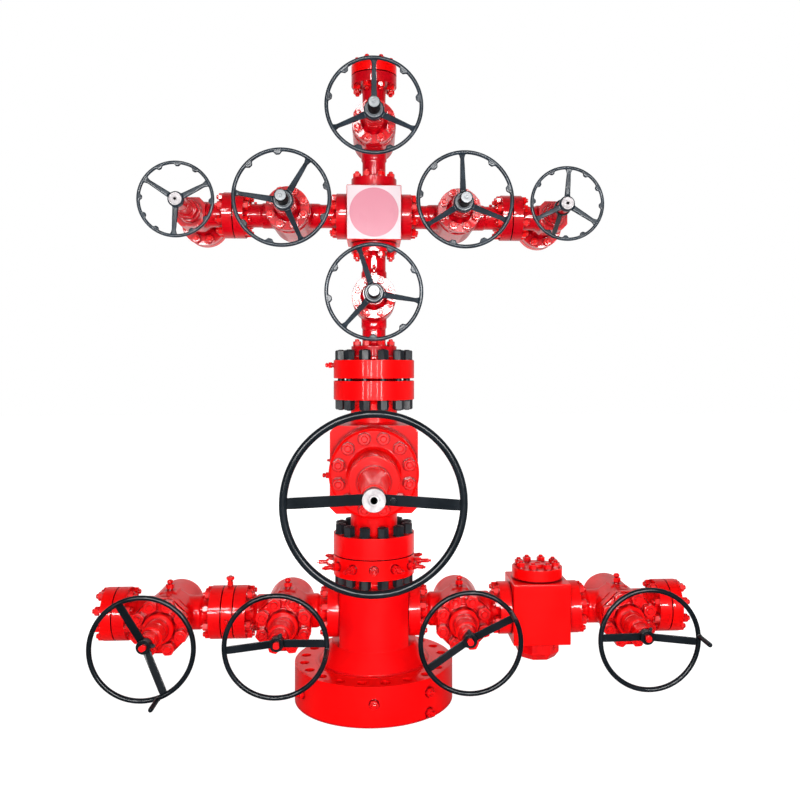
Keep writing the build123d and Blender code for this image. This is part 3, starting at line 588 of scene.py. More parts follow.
@dataclass(frozen=True)
class Finish:
    """A painted or bare finish, made of a film, rubbed edges, settled dust and painted shade in its inner
    corners, with a painted reflection on a milled face.
    """

    name: str
    slot: Slot
    colour: Colour
    shade: Colour
    rubbed: Colour
    smoothest: float
    roughest: float
    metallic: float = 0.0
    coat: float = 0.0
    coat_roughness: float = 0.05
    reflectance: float = 0.25
    mottle: float = 5.0
    peel: float = 160.0
    peel_depth: float = 0.15
    rub: float = 0.5
    rub_width: float = 0.003
    dust: float = 0.1
    dust_colour: Colour = (0.34, 0.17, 0.13, 1.0)
    # Colour and reach of the painted shade in inner corners.
    crease_shade: Colour = (0.16, 0.0, 0.004, 1.0)
    crease_shade_width: float = 0.022
    milling_and_reflection: MillingAndReflection | None = None

    def mix(self, effects: Effects) -> bpy.types.Material:
        """Mix the finish as a material.

        Args:
            effects: The shared node groups.

        Returns:
            The material.
        """
        material = bpy.data.materials.new(self.name)
        material.use_nodes = True
        tree = material.node_tree
        tree.nodes.clear()
        desk = NodeDesk(tree)
        place = desk.add("ShaderNodeTexCoord").outputs["Object"]
        film = desk.group(
            effects.film, Vector=place, Colour=self.colour, Shade=self.shade, Mottle=self.mottle,
            Peel=self.peel, Smoothest=self.smoothest, Roughest=self.roughest,
        )
        rub = desk.group(effects.rub, Vector=place, Width=self.rub_width, Amount=self.rub)
        dust = desk.group(effects.dust, Vector=place, Amount=self.dust)
        # Painted shade for the inner corners.
        crease_shade = desk.group(effects.crease_shade, Width=self.crease_shade_width)
        coat: Any = film.outputs["Colour"]
        height: Any = film.outputs["Height"]
        # A milled front face gets a painted reflection colour, and its corners get a painted highlight.
        if self.milling_and_reflection is not None:
            marks_and_reflection = desk.group(
                effects.milling_and_reflection, Vector=place, Middle=self.milling_and_reflection.middle, Reach=self.milling_and_reflection.reach
            )
            coat = desk.blend(marks_and_reflection.outputs["Face"], coat, self.milling_and_reflection.colour)
            coat = desk.blend(marks_and_reflection.outputs["CornerHighlight"], coat, self.milling_and_reflection.corners)
            height = desk.math("ADD", height, desk.math("MULTIPLY", marks_and_reflection.outputs["Height"], 0.4))
        worn = desk.blend(rub.outputs["Mask"], coat, self.rubbed)
        # Painted shade darkens the colour towards inner corners.
        crease_shaded = desk.blend(crease_shade.outputs["Mask"], worn, self.crease_shade)
        dusty = desk.blend(dust.outputs["Mask"], crease_shaded, self.dust_colour)
        dull = desk.math("MULTIPLY", dust.outputs["Mask"], 0.5)
        roughness = desk.math("ADD", film.outputs["Roughness"], dull)
        bump = desk.add(
            "ShaderNodeBump",
            {"Strength": self.peel_depth, "Distance": 0.001, "Height": height},
        )
        surface = desk.add(
            "ShaderNodeBsdfPrincipled",
            {
                "Base Color": dusty,
                "Roughness": roughness,
                "Metallic": self.metallic,
                "Specular IOR Level": self.reflectance,
                "Coat Weight": self.coat,
                "Coat Roughness": self.coat_roughness,
                "Normal": bump.outputs[0],
            },
        )
        desk.add("ShaderNodeOutputMaterial", {"Surface": surface.outputs[0]})
        return material


# Colours of the painted shade in the inner corners of dark and grey finishes.
BLACK_CREASE_SHADE: Colour = (0.002, 0.003, 0.004, 1)
GREY_CREASE_SHADE: Colour = (0.03, 0.034, 0.04, 1)
FINE_CREASE = 0.012

RED_ENAMEL = Finish(
    name="red_enamel", slot=Slot.RED,
    colour=(0.92, 0.002, 0.002, 1), shade=(0.84, 0.001, 0.002, 1), rubbed=(0.95, 0.04, 0.03, 1),
    smoothest=0.28, roughest=0.42, coat=0.3, coat_roughness=0.03, reflectance=0.04,
    mottle=3.0, peel=150.0, peel_depth=0.04, rub=0.3, rub_width=0.004, dust=0.03,
)
RED_CASTING = Finish(
    name="red_casting", slot=Slot.RED,
    colour=(0.90, 0.002, 0.003, 1), shade=(0.74, 0.001, 0.003, 1), rubbed=(0.9, 0.05, 0.04, 1),
    smoothest=0.3, roughest=0.46, coat=0.3, coat_roughness=0.04, reflectance=0.04,
    mottle=4.0, peel=70.0, peel_depth=0.16, rub=0.3, rub_width=0.006, dust=0.06,
)
RED_CRIMSON = Finish(
    name="crimson_valve_paint", slot=Slot.RED,
    colour=(0.66, 0.001, 0.006, 1), shade=(0.46, 0.001, 0.008, 1), rubbed=(0.9, 0.05, 0.05, 1),
    smoothest=0.28, roughest=0.42, coat=0.47, coat_roughness=0.03, reflectance=0.05,
    mottle=5.0, peel=90.0, peel_depth=0.10, rub=0.3, rub_width=0.005, dust=0.04,
)
RED_WRINKLED = Finish(
    name="red_wrinkled_paint", slot=Slot.RED,
    colour=(0.90, 0.002, 0.003, 1), shade=(0.60, 0.001, 0.003, 1), rubbed=(0.95, 0.1, 0.08, 1),
    smoothest=0.28, roughest=0.42, coat=0.42, coat_roughness=0.04, reflectance=0.075,
    mottle=14.0, peel=26.0, peel_depth=1.0, rub=0.4, rub_width=0.004, dust=0.03,
)
RED_HARDWARE = Finish(
    name="red_hardware", slot=Slot.RED,
    colour=(0.90, 0.002, 0.003, 1), shade=(0.72, 0.001, 0.003, 1), rubbed=(0.95, 0.12, 0.10, 1),
    smoothest=0.25, roughest=0.4, coat=0.4, coat_roughness=0.04, reflectance=0.1,
    mottle=16.0, peel=240.0, peel_depth=0.10, rub=0.6, rub_width=0.002, dust=0.03,
)
# The cross's front face carries a painted reflection of the front light, with a paler painted highlight on its
# corners.
RED_MILLED_REFLECTION = Finish(
    name="red_milled_face_with_painted_reflection", slot=Slot.RED,
    colour=(0.92, 0.002, 0.002, 1), shade=(0.84, 0.001, 0.002, 1), rubbed=(0.95, 0.35, 0.35, 1),
    smoothest=0.26, roughest=0.38, coat=0.2, coat_roughness=0.10, reflectance=0.08,
    mottle=5.0, peel=120.0, peel_depth=0.05, rub=0.4, rub_width=0.003, dust=0.03,
    milling_and_reflection=MillingAndReflection((0.0, 0.0, WING_HEIGHT), 0.141, (0.51, 0.135, 0.20, 1), (0.60, 0.49, 0.52, 1)),
)
BLACK_ENAMEL = Finish(
    name="black_enamel", slot=Slot.BLACK,
    colour=(0.004, 0.006, 0.008, 1), shade=(0.009, 0.012, 0.016, 1), rubbed=(0.06, 0.07, 0.08, 1),
    smoothest=0.28, roughest=0.42, coat=0.2, coat_roughness=0.03, reflectance=0.03,
    mottle=6.0, peel=110.0, peel_depth=0.05, rub=0.35, rub_width=0.002, dust=0.015,
    crease_shade=BLACK_CREASE_SHADE, crease_shade_width=FINE_CREASE,
)
BLACK_STUDS = Finish(
    name="black_coated_studs", slot=Slot.BLACK,
    colour=(0.007, 0.009, 0.012, 1), shade=(0.015, 0.018, 0.023, 1), rubbed=(0.05, 0.055, 0.06, 1),
    smoothest=0.34, roughest=0.5, reflectance=0.175, mottle=30.0, peel=420.0, peel_depth=0.2, rub=0.6,
    rub_width=0.002, dust=0.05,
    crease_shade=BLACK_CREASE_SHADE, crease_shade_width=FINE_CREASE,
)
SLATE_CASTING = Finish(
    name="slate_casting", slot=Slot.GREY,
    colour=(0.024, 0.035, 0.048, 1), shade=(0.010, 0.015, 0.021, 1), rubbed=(0.12, 0.15, 0.18, 1),
    smoothest=0.35, roughest=0.55, coat=0.14, coat_roughness=0.08, reflectance=0.075,
    mottle=11.0, peel=90.0, peel_depth=0.4, rub=0.4, rub_width=0.003, dust=0.05,
    crease_shade=BLACK_CREASE_SHADE, crease_shade_width=FINE_CREASE,
)
BLACK_SLEEVE = Finish(
    name="black_sleeves", slot=Slot.BLACK,
    colour=(0.003, 0.004, 0.005, 1), shade=(0.006, 0.007, 0.009, 1), rubbed=(0.05, 0.055, 0.06, 1),
    smoothest=0.5, roughest=0.7, reflectance=0.05, mottle=16.0, peel=200.0, peel_depth=0.1, rub=0.3,
    rub_width=0.002, dust=0.02,
    crease_shade=BLACK_CREASE_SHADE, crease_shade_width=FINE_CREASE,
)
HUB_RING = Finish(
    name="grey_hub_rings", slot=Slot.GREY,
    colour=(0.085, 0.098, 0.112, 1), shade=(0.05, 0.058, 0.068, 1), rubbed=(0.3, 0.32, 0.35, 1),
    smoothest=0.3, roughest=0.45, coat=0.2, coat_roughness=0.12, reflectance=0.15, mottle=18.0, peel=160.0,
    peel_depth=0.2, rub=0.5, rub_width=0.002, dust=0.04,
    crease_shade=(0.01, 0.012, 0.015, 1), crease_shade_width=FINE_CREASE,
)
END_DISC = Finish(
    name="grey_end_discs", slot=Slot.GREY,
    colour=(0.20, 0.215, 0.23, 1), shade=(0.12, 0.13, 0.145, 1), rubbed=(0.42, 0.44, 0.47, 1),
    smoothest=0.28, roughest=0.42, coat=0.23, coat_roughness=0.12, mottle=18.0, peel=160.0, peel_depth=0.2,
    rub=0.7, rub_width=0.002, dust=0.05,
    crease_shade=GREY_CREASE_SHADE, crease_shade_width=FINE_CREASE,
)
BRIGHT_STEEL = Finish(
    name="bright_steel", slot=Slot.GREY,
    colour=(0.42, 0.42, 0.43, 1), shade=(0.28, 0.29, 0.30, 1), rubbed=(0.6, 0.6, 0.6, 1),
    smoothest=0.18, roughest=0.38, metallic=0.9, mottle=20.0, peel=300.0, peel_depth=0.15, dust=0.03,
    crease_shade=GREY_CREASE_SHADE, crease_shade_width=FINE_CREASE,
)
PALE_PAINT = Finish(
    name="pale_hub_paint", slot=Slot.GREY,
    colour=(0.50, 0.46, 0.47, 1), shade=(0.28, 0.25, 0.26, 1), rubbed=(0.85, 0.85, 0.85, 1),
    smoothest=0.25, roughest=0.45, coat=0.19, mottle=24.0, peel=160.0, peel_depth=0.3, rub=0.8,
    rub_width=0.002, dust=0.05,
    crease_shade=GREY_CREASE_SHADE, crease_shade_width=FINE_CREASE,
)


class Shop:
    """Takes finished pieces in and holds the mixed paints."""

    def __init__(self, finishes: Sequence[Finish]) -> None:
        """Mix every finish once."""
        effects = Effects()
        self.paints = {finish.name: finish.mix(effects) for finish in finishes}
        self.dice = Random(11)
        self.count = 0

    def take(
        self, item: Item, name: str, finish: Finish, nodes: Sequence[str] = (), body: str = TREE
    ) -> Item:
        """Name a finished piece, dress it and let it ride on its body.

        Args:
            item: The piece, in its place.
            name: Its name.
            finish: Its finish.
            nodes: The plain nodes that it stands for.
            body: The body that it rides on.

        Returns:
            The same piece.
        """
        item.name = name
        item.data.name = name
        item.data.materials.clear()
        item.data.materials.append(self.paints[finish.name])
        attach(item, body)
        if nodes:
            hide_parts(*nodes)
        self.count += 1
        LOG.info("%s: %d faces, rides on %s", name, len(item.data.polygons), body)
        return item


@dataclass(frozen=True)
class Fastener:
    """A chamfered hexagon nut on its washer, with the rounded end of its stud."""

    flats: float
    height: float
    stud: float
    reach: float
    washer_share: float = 0.6
    washer_rise: float = 0.003
    chamfer: float = 0.004
    sides: int = 12

    def model(self) -> Item:
        """Return the nut, the washer and the stud end, which stand on Z from 0."""
        top = self.washer_rise + self.height
        corner, crown, past = self.flats * 0.6, self.flats * 0.48, 0.01
        nut = Bench.prism(6, self.flats, [(self.washer_rise, 1), (top, 1)])
        envelope = [(-past, corner), (top - self.chamfer, corner), (top, crown), (top + past, crown)]
        Bench.carve(nut, Bench.turn(envelope, self.sides), "INTERSECT")
        washer_radius = self.flats * self.washer_share
        washer = Bench.turn([(0, washer_radius), (self.washer_rise, washer_radius)], self.sides)
        end = top + self.reach
        stud = Bench.turn(
            [(top - self.chamfer, self.stud), (end - self.stud * 0.25, self.stud), (end, self.stud * 0.7)], 10
        )
        return Bench.shade(Bench.join([nut, washer, stud]), 40.0)


@dataclass(frozen=True)
class BoltCircle:
    """Fasteners round a circle."""

    fastener: Fastener
    radius: float
    count: int = 8
    first_turn: float = 22.5

    def model(self, dice: Random) -> Item:
        """Return the fasteners in their own frame, which stand on Z from 0.

        Args:
            dice: Gives each nut its own turn.

        Returns:
            One joined piece.
        """
        places = []
        for index in range(self.count):
            turn = radians(self.first_turn + 360 * index / self.count)
            own_turn = Matrix.Rotation(dice.uniform(0, pi / 3), 4, "Z")
            spot = (self.radius * cos(turn), self.radius * sin(turn), 0)
            places.append(Matrix.Translation(spot) @ own_turn)
        return Bench.spread(self.fastener.model(), places)


@dataclass(frozen=True)
class Flange:
    """A bolted flange whose joint face is at level 0 and whose body lies below it."""

    radius: float
    thickness: float
    rise: float
    neck: float
    hub: float = 0.010
    edge: float = 0.0035
    face_share: float = 0.6

    @property
    def depth(self) -> float:
        """Distance from the joint face to the flange's back."""
        return self.thickness + self.rise

    def model(self, sides: int = 96) -> Item:
        """Return the flange in its own frame, with its face up."""
        back = -self.depth
        face = self.radius * self.face_share
        profile = [
            (back - 2 * self.hub, self.neck), (back - self.hub, self.neck + self.hub * 0.3),
            (back, self.neck + self.hub), (back, self.radius), (-self.rise, self.radius),
            (-self.rise, face), (0, face),
        ]
        return Bench.soften(Bench.turn(profile, sides), self.edge)


UPPER_FLANGE = Flange(radius=0.135, thickness=0.0584, rise=RAISED_FACE, neck=0.069)
LOWER_FLANGE = Flange(radius=0.153, thickness=0.068, rise=RAISED_FACE, neck=0.084)
UPPER_BOLTS = BoltCircle(Fastener(flats=0.0413, height=0.0254, stud=0.0127, reach=0.013), 0.108)
LOWER_BOLTS = BoltCircle(Fastener(flats=0.046, height=0.029, stud=0.0145, reach=0.014), 0.125)
BIG_BOLTS = BoltCircle(
    Fastener(flats=0.059, height=0.054, stud=0.019, reach=0.004, chamfer=0.007), 0.2016, 12, 15.0
)


@dataclass
class GateValves(ABC):
    """A family of gate valves, modelled once with the bore along X and copied to its places."""

    places: dict[str, Matrix]
    half_length: float
    back: float
    front: float
    band_flats: float
    bonnet_back: float
    flange: Flange
    bolts: BoltCircle
    casting_finish: Finish
    bonnet_finish: Finish

    @abstractmethod
    def casting(self) -> Item:
        """Return the body."""

    @abstractmethod
    def bonnet(self) -> Item:
        """Return the bonnet."""

    @abstractmethod
    def bonnet_nuts(self, dice: Random) -> Item:
        """Return the nuts on the bonnet's front."""

    def body(
        self, shapes: Sequence[Item], neck: Profile, skin: tuple[float, int],
        band: tuple[float, float], boss: Profile,
    ) -> Item:
        """Run cast shapes and a neck on each side together, and add the crisp band, boss and flanges.

        Args:
            shapes: The barrel and its pads, in their places.
            neck: Profile of the necks.
            skin: Size of the fused skin's faces, and how often it is smoothed.
            band: Share of the eight-sided band's width at its foot, and how far its edges are rounded.
            boss: Profile of the boss at the back.

        Returns:
            The whole body.
        """
        pattern = Bench.turn(neck)
        necks = [Bench.twin(pattern, way.at()) for way in (Way.LEFT, Way.RIGHT)]
        bpy.data.objects.remove(pattern)
        core = Bench.fuse([*shapes, *necks], *skin)
        share, edge = band
        collar = Bench.prism(
            8, self.band_flats, [(self.front, share), (self.front + 0.008, 1), (self.bonnet_back - 0.003, 1)]
        )
        hub = Bench.turn(boss, 48)
        flange = self.flange.model()
        trim = [
            Bench.stand(Bench.soften(collar, edge, 3), Way.FRONT.at()),
            Bench.stand(Bench.soften(hub, 0.004), Way.BACK.at()),
            Bench.twin(flange, Way.LEFT.at(-self.half_length)),
            Bench.twin(flange, Way.RIGHT.at(self.half_length)),
        ]
        bpy.data.objects.remove(flange)
        return Bench.join([core, *trim])

    def flange_nuts(self, dice: Random) -> Item:
        """Return the nuts on the backs of both flanges."""
        reach = self.half_length - self.flange.depth
        return Bench.spread(self.bolts.model(dice), [Way.RIGHT.at(-reach), Way.LEFT.at(reach)])

    def build(self, shop: Shop) -> None:
        """Model the family and stand it in each valve's place."""
        parts = (
            ("casting", self.casting(), self.casting_finish, "valve_body"),
            ("bonnet_forging", self.bonnet(), self.bonnet_finish, "bonnet"),
            ("flange_nuts", self.flange_nuts(shop.dice), RED_HARDWARE, ""),
            ("bonnet_nuts", self.bonnet_nuts(shop.dice), RED_HARDWARE, ""),
        )
        for name, place in self.places.items():
            for part, pattern, finish, node in parts:
                nodes = [f"{name}_{node}"] if node else []
                shop.take(Bench.twin(pattern, place), f"{name}_{part}", finish, nodes)
        for _, pattern, _, _ in parts:
            bpy.data.objects.remove(pattern)


@dataclass
class UpperValves(GateValves):
    """The smaller gate valves of the upper tree."""

    half_length: float = 0.338
    back: float = 0.240
    front: float = 0.150
    band_flats: float = 0.236
    bonnet_back: float = 0.203
    flange: Flange = UPPER_FLANGE
    bolts: BoltCircle = UPPER_BOLTS
    casting_finish: Finish = RED_CRIMSON
    bonnet_finish: Finish = RED_CRIMSON
    barrel: float = 0.128
    bonnet_radius: float = 0.124
    bonnet_thickness: float = 0.049
    bonnet_bolt_radius: float = 0.100

    def casting(self) -> Item:
        """Return the body: a tapered barrel, its necks, an eight-sided band and the flanges."""
        taper = 0.034
        barrel = Bench.turn(
            [(-self.back, 0.060), (-self.back, self.barrel - taper), (-(self.back - taper), self.barrel),
             (self.front + 0.01, self.barrel - 0.001)], 96
        )
        neck = [(0, 0.0755), (0.165, 0.0755), (0.171, 0.0695), (self.half_length - self.flange.depth, 0.0695)]
        end = self.back + 0.012
        boss = [(self.back - 0.01, 0.052), (end, 0.052), (end, 0.02)]
        return self.body([Bench.stand(barrel, Way.FRONT.at())], neck, (0.005, 5), (0.94, 0.004), boss)

    def bonnet(self) -> Item:
        """Return the bonnet: a bolted plate, a stepped neck and a gland ring near its end."""
        plate = self.bonnet_back + self.bonnet_thickness
        profile = [
            (self.bonnet_back - 0.003, 0.074), (self.bonnet_back, 0.074),
            (self.bonnet_back, self.bonnet_radius), (plate, self.bonnet_radius), (plate, 0.077),
            (plate + 0.006, 0.071), (plate + 0.016, 0.064), (plate + 0.026, 0.060), (0.350, 0.060),
            (0.350, 0.0625), (0.364, 0.0625), (0.364, 0.060), (0.440, 0.060), (0.440, 0.030),
        ]
        item = Bench.soften(Bench.turn(profile, 80), 0.003)
        seat = Bench.turn([(plate - 0.002, 0.0265), (plate + 0.001, 0.0255)], 20)
        seats = Bench.ring(seat, 8, self.bonnet_bolt_radius - 0.003, first_turn=22.5)
        return Bench.stand(Bench.join([item, seats]), Way.FRONT.at())

    def bonnet_nuts(self, dice: Random) -> Item:
        """Return the nuts on the bonnet's front."""
        ring = BoltCircle(self.bolts.fastener, self.bonnet_bolt_radius).model(dice)
        return Bench.stand(ring, Way.FRONT.at(0, -self.bonnet_back - self.bonnet_thickness, 0))


@dataclass
class LowerValves(GateValves):
    """The four larger gate valves of the arms."""

    half_length: float = 0.3075
    back: float = 0.285
    front: float = 0.150
    band_flats: float = 0.276
    bonnet_back: float = 0.211
    flange: Flange = LOWER_FLANGE
    bolts: BoltCircle = LOWER_BOLTS
    casting_finish: Finish = RED_CASTING
    bonnet_finish: Finish = RED_ENAMEL
    bonnet_radius: float = 0.165
    bonnet_front: float = 0.269
    bonnet_bolt_radius: float = 0.127

    def casting(self) -> Item:
        """Return the body: a stepped barrel, a fitting's pad, its necks, a band and flanges."""
        barrel = Bench.turn(
            [(-self.back, 0.060), (-self.back, 0.118), (-self.back + 0.010, 0.129),
             (-self.back + 0.040, 0.139), (-0.012, 0.139), (-0.004, 0.143), (self.front + 0.01, 0.141)], 96
        )
        pad = Bench.block((0.100, 0.120, 0.012), 0.004)
        pad.data.transform(Matrix.Translation((0, -0.040, 0.139)))
        neck = [(0, 0.099), (0.178, 0.099), (0.188, 0.0845), (self.half_length - self.flange.depth, 0.0845)]
        boss = [(self.back - 0.01, 0.058), (self.back, 0.058), (self.back, 0.02)]
        return self.body([Bench.stand(barrel, Way.FRONT.at()), pad], neck, (0.006, 4), (0.95, 0.005), boss)

    def bonnet(self) -> Item:
        """Return the bonnet: an eight-sided plate with round corners, a step and a neck with a groove."""
        flats = 2 * self.bonnet_radius * cos(pi / 8)
        plate = Bench.prism(
            8, flats, [(self.bonnet_back, 1), (self.bonnet_front - 0.010, 1), (self.bonnet_front, 0.95)]
        )
        Bench.apply(plate, "BEVEL", width=0.022, segments=4, limit_method="ANGLE", angle_limit=radians(40))
        Bench.soften(plate, 0.002, 2, 24)
        profile = [
            (self.bonnet_back - 0.003, 0.099), (self.bonnet_front, 0.099), (self.bonnet_front + 0.004, 0.094),
            (self.bonnet_front + 0.004, 0.086), (self.bonnet_front + 0.008, 0.084),
            (0.326, 0.084), (0.331, 0.079), (0.331, 0.060),
            (0.392, 0.060), (0.392, 0.057), (0.398, 0.057), (0.398, 0.060), (0.476, 0.060),
            (0.481, 0.055), (0.481, 0.044), (0.530, 0.044), (0.530, 0.046), (0.544, 0.046),
            (0.544, 0.044), (0.568, 0.044), (0.571, 0.041), (0.571, 0.024),
        ]
        neck = Bench.soften(Bench.turn(profile, 80), 0.003)
        return Bench.stand(Bench.join([plate, neck]), Way.FRONT.at())

    def bonnet_nuts(self, dice: Random) -> Item:
        """Return the bonnet's large nuts, sunk a little into its face."""
        nut = Fastener(
            flats=0.066, height=0.036, stud=0.0195, reach=0.010, washer_share=0.53, chamfer=0.006, sides=20
        )
        ring = BoltCircle(nut, self.bonnet_bolt_radius).model(dice)
        return Bench.stand(ring, Way.FRONT.at(0, -self.bonnet_front + 0.0005, 0))


@dataclass
class TubingHead:
    """The base: a drilled flange, a barrel with a flat for each arm, and a top flange with screws."""

    base_radius: float = 0.468
    base_height: float = 0.225
    hole_circle: float = 0.412
    hole_radius: float = 0.029
    hole_count: int = 20
    flat_reach: float = 0.200
    flat_bottom: float = 0.338
    neck_top: float = 0.738
    top: float = 0.856
    flange_radius: float = 0.240
    screw_height: float = 0.801
    screw_count: int = 12
    ports: tuple[tuple[float, float], ...] = ((0.0, 0.582), (-60.0, 0.48), (41.0, 0.662), (41.0, 0.151))

    def port_places(self, sink: float) -> list[Matrix]:
        """Return the places of the rim's ports, sunk into the rim by a depth."""
        return [
            radial(self.base_radius - sink, turn - 90, share * self.base_height) for turn, share in self.ports
        ]

    def screw_places(self, sink: float) -> list[Matrix]:
        """Return the places of the lockdown screws, sunk into the top flange's rim by a depth."""
        return [
            radial(self.flange_radius - sink, 360 * index / self.screw_count, self.screw_height)
            for index in range(self.screw_count)
        ]

    def base_flange(self) -> Item:
        """Return the thick base flange with its bolt holes and port pockets."""
        face = Bench.turn(
            [(0, self.base_radius - 0.002), (0.002, self.base_radius), (self.base_height, self.base_radius),
             (self.base_height, 0.345), (self.base_height + 0.002, 0.343)], 160
        )
        pattern = Bench.turn([(-0.02, self.hole_radius), (self.base_height + 0.02, self.hole_radius)], 28)
        Bench.carve(face, Bench.ring(pattern, self.hole_count, self.hole_circle, 0.0, 180 / self.hole_count))
        pocket = Bench.turn([(0, 0.0296), (0.04, 0.0296)], 28)
        Bench.carve(face, Bench.spread(pocket, self.port_places(0.010)))
        return Bench.soften(face, 0.006, 3)

    def casting(self) -> Item:
        """Return the head's foot, cone, barrel and neck, cut flat where each arm is bolted on."""
        trunk = Bench.turn(
            [(self.base_height, 0.330), (0.2275, 0.325), (0.2305, 0.322), (0.236, 0.3215), (0.240, 0.3185),
             (self.flat_bottom - 0.004, 0.2545), (self.flat_bottom, 0.252), (0.662, 0.252), (0.672, 0.242),
             (0.672, 0.152), (0.676, 0.142), (0.684, 0.137), (self.neck_top, 0.136)], 144
        )
        depth, tall = 0.130, 0.420
        for side in (-1, 1):
            tool = Bench.block((depth, 0.660, tall))
            middle = (side * (self.flat_reach + depth / 2), 0, self.flat_bottom + tall / 2)
            Bench.carve(trunk, Bench.stand(tool, Matrix.Translation(middle)))
        return Bench.soften(trunk, 0.0025, 2, 20)

    def top_flange(self) -> Item:
        """Return the top flange with a spot face round each lockdown screw."""
        flange = Bench.turn(
            [(self.neck_top - 0.022, 0.137), (self.neck_top - 0.010, 0.141), (self.neck_top, 0.152),
             (self.neck_top, self.flange_radius), (self.top - 0.003, self.flange_radius),
             (self.top - 0.003, 0.144), (self.top, 0.144)], 144
        )
        pocket = Bench.turn([(0, 0.0285), (0.03, 0.0285)], 28)
        Bench.carve(flange, Bench.spread(pocket, self.screw_places(0.006)))
        return Bench.soften(flange, 0.0035)

    def lockdown_screws(self) -> Item:
        """Return the screws: a hexagon gland, a washer, a threaded screw and a square end."""
        gland = Bench.soften(Bench.prism(6, 0.044, [(0, 1), (0.046, 1)]), 0.002)
        rest = [(0.044, 0.019), (0.056, 0.019), (0.056, 0.0125)]
        for index in range(7):
            level = 0.059 + 0.005 * index
            rest += [(level, 0.0125), (level + 0.0017, 0.0112), (level + 0.0034, 0.0125)]
        rest += [(0.100, 0.0125), (0.102, 0.011)]
        screw = Bench.shade(Bench.turn(rest, 14))
        tip = Bench.soften(Bench.prism(4, 0.0125, [(0.100, 1), (0.116, 1)]), 0.001)
        unit = Bench.join([gland, screw, tip])
        places = [
            place @ Matrix.Rotation(radians(17 * index), 4, "Z")
            for index, place in enumerate(self.screw_places(0.014))
        ]
        return Bench.spread(unit, places)

    def port_plugs(self) -> Item:
        """Return the hexagon plugs in the base flange's rim."""
        cap = Bench.soften(Bench.prism(6, 0.046, [(0, 1), (0.034, 1)]), 0.003)
        profile = [(0.032, 0.0175), (0.037, 0.0175), (0.037, 0.014), (0.050, 0.0125), (0.050, 0.006)]
        nose = Bench.soften(Bench.turn(profile, 20), 0.001)
        return Bench.spread(Bench.join([cap, nose]), self.port_places(0.010))

    def build(self, shop: Shop) -> None:
        """Model the head's pieces."""
        shop.take(self.base_flange(), "base_flange_forging", RED_ENAMEL, ["head_base_flange"])
        shop.take(self.casting(), "tubing_head_casting", RED_CASTING, ["tubing_head"])
        shop.take(self.top_flange(), "head_top_flange_forging", RED_ENAMEL, ["head_top_flange"])
        shop.take(self.lockdown_screws(), "lockdown_screw_set", RED_HARDWARE, ["lockdown_screws"])
        shop.take(self.port_plugs(), "base_port_plugs", RED_HARDWARE, ["base_ports"])


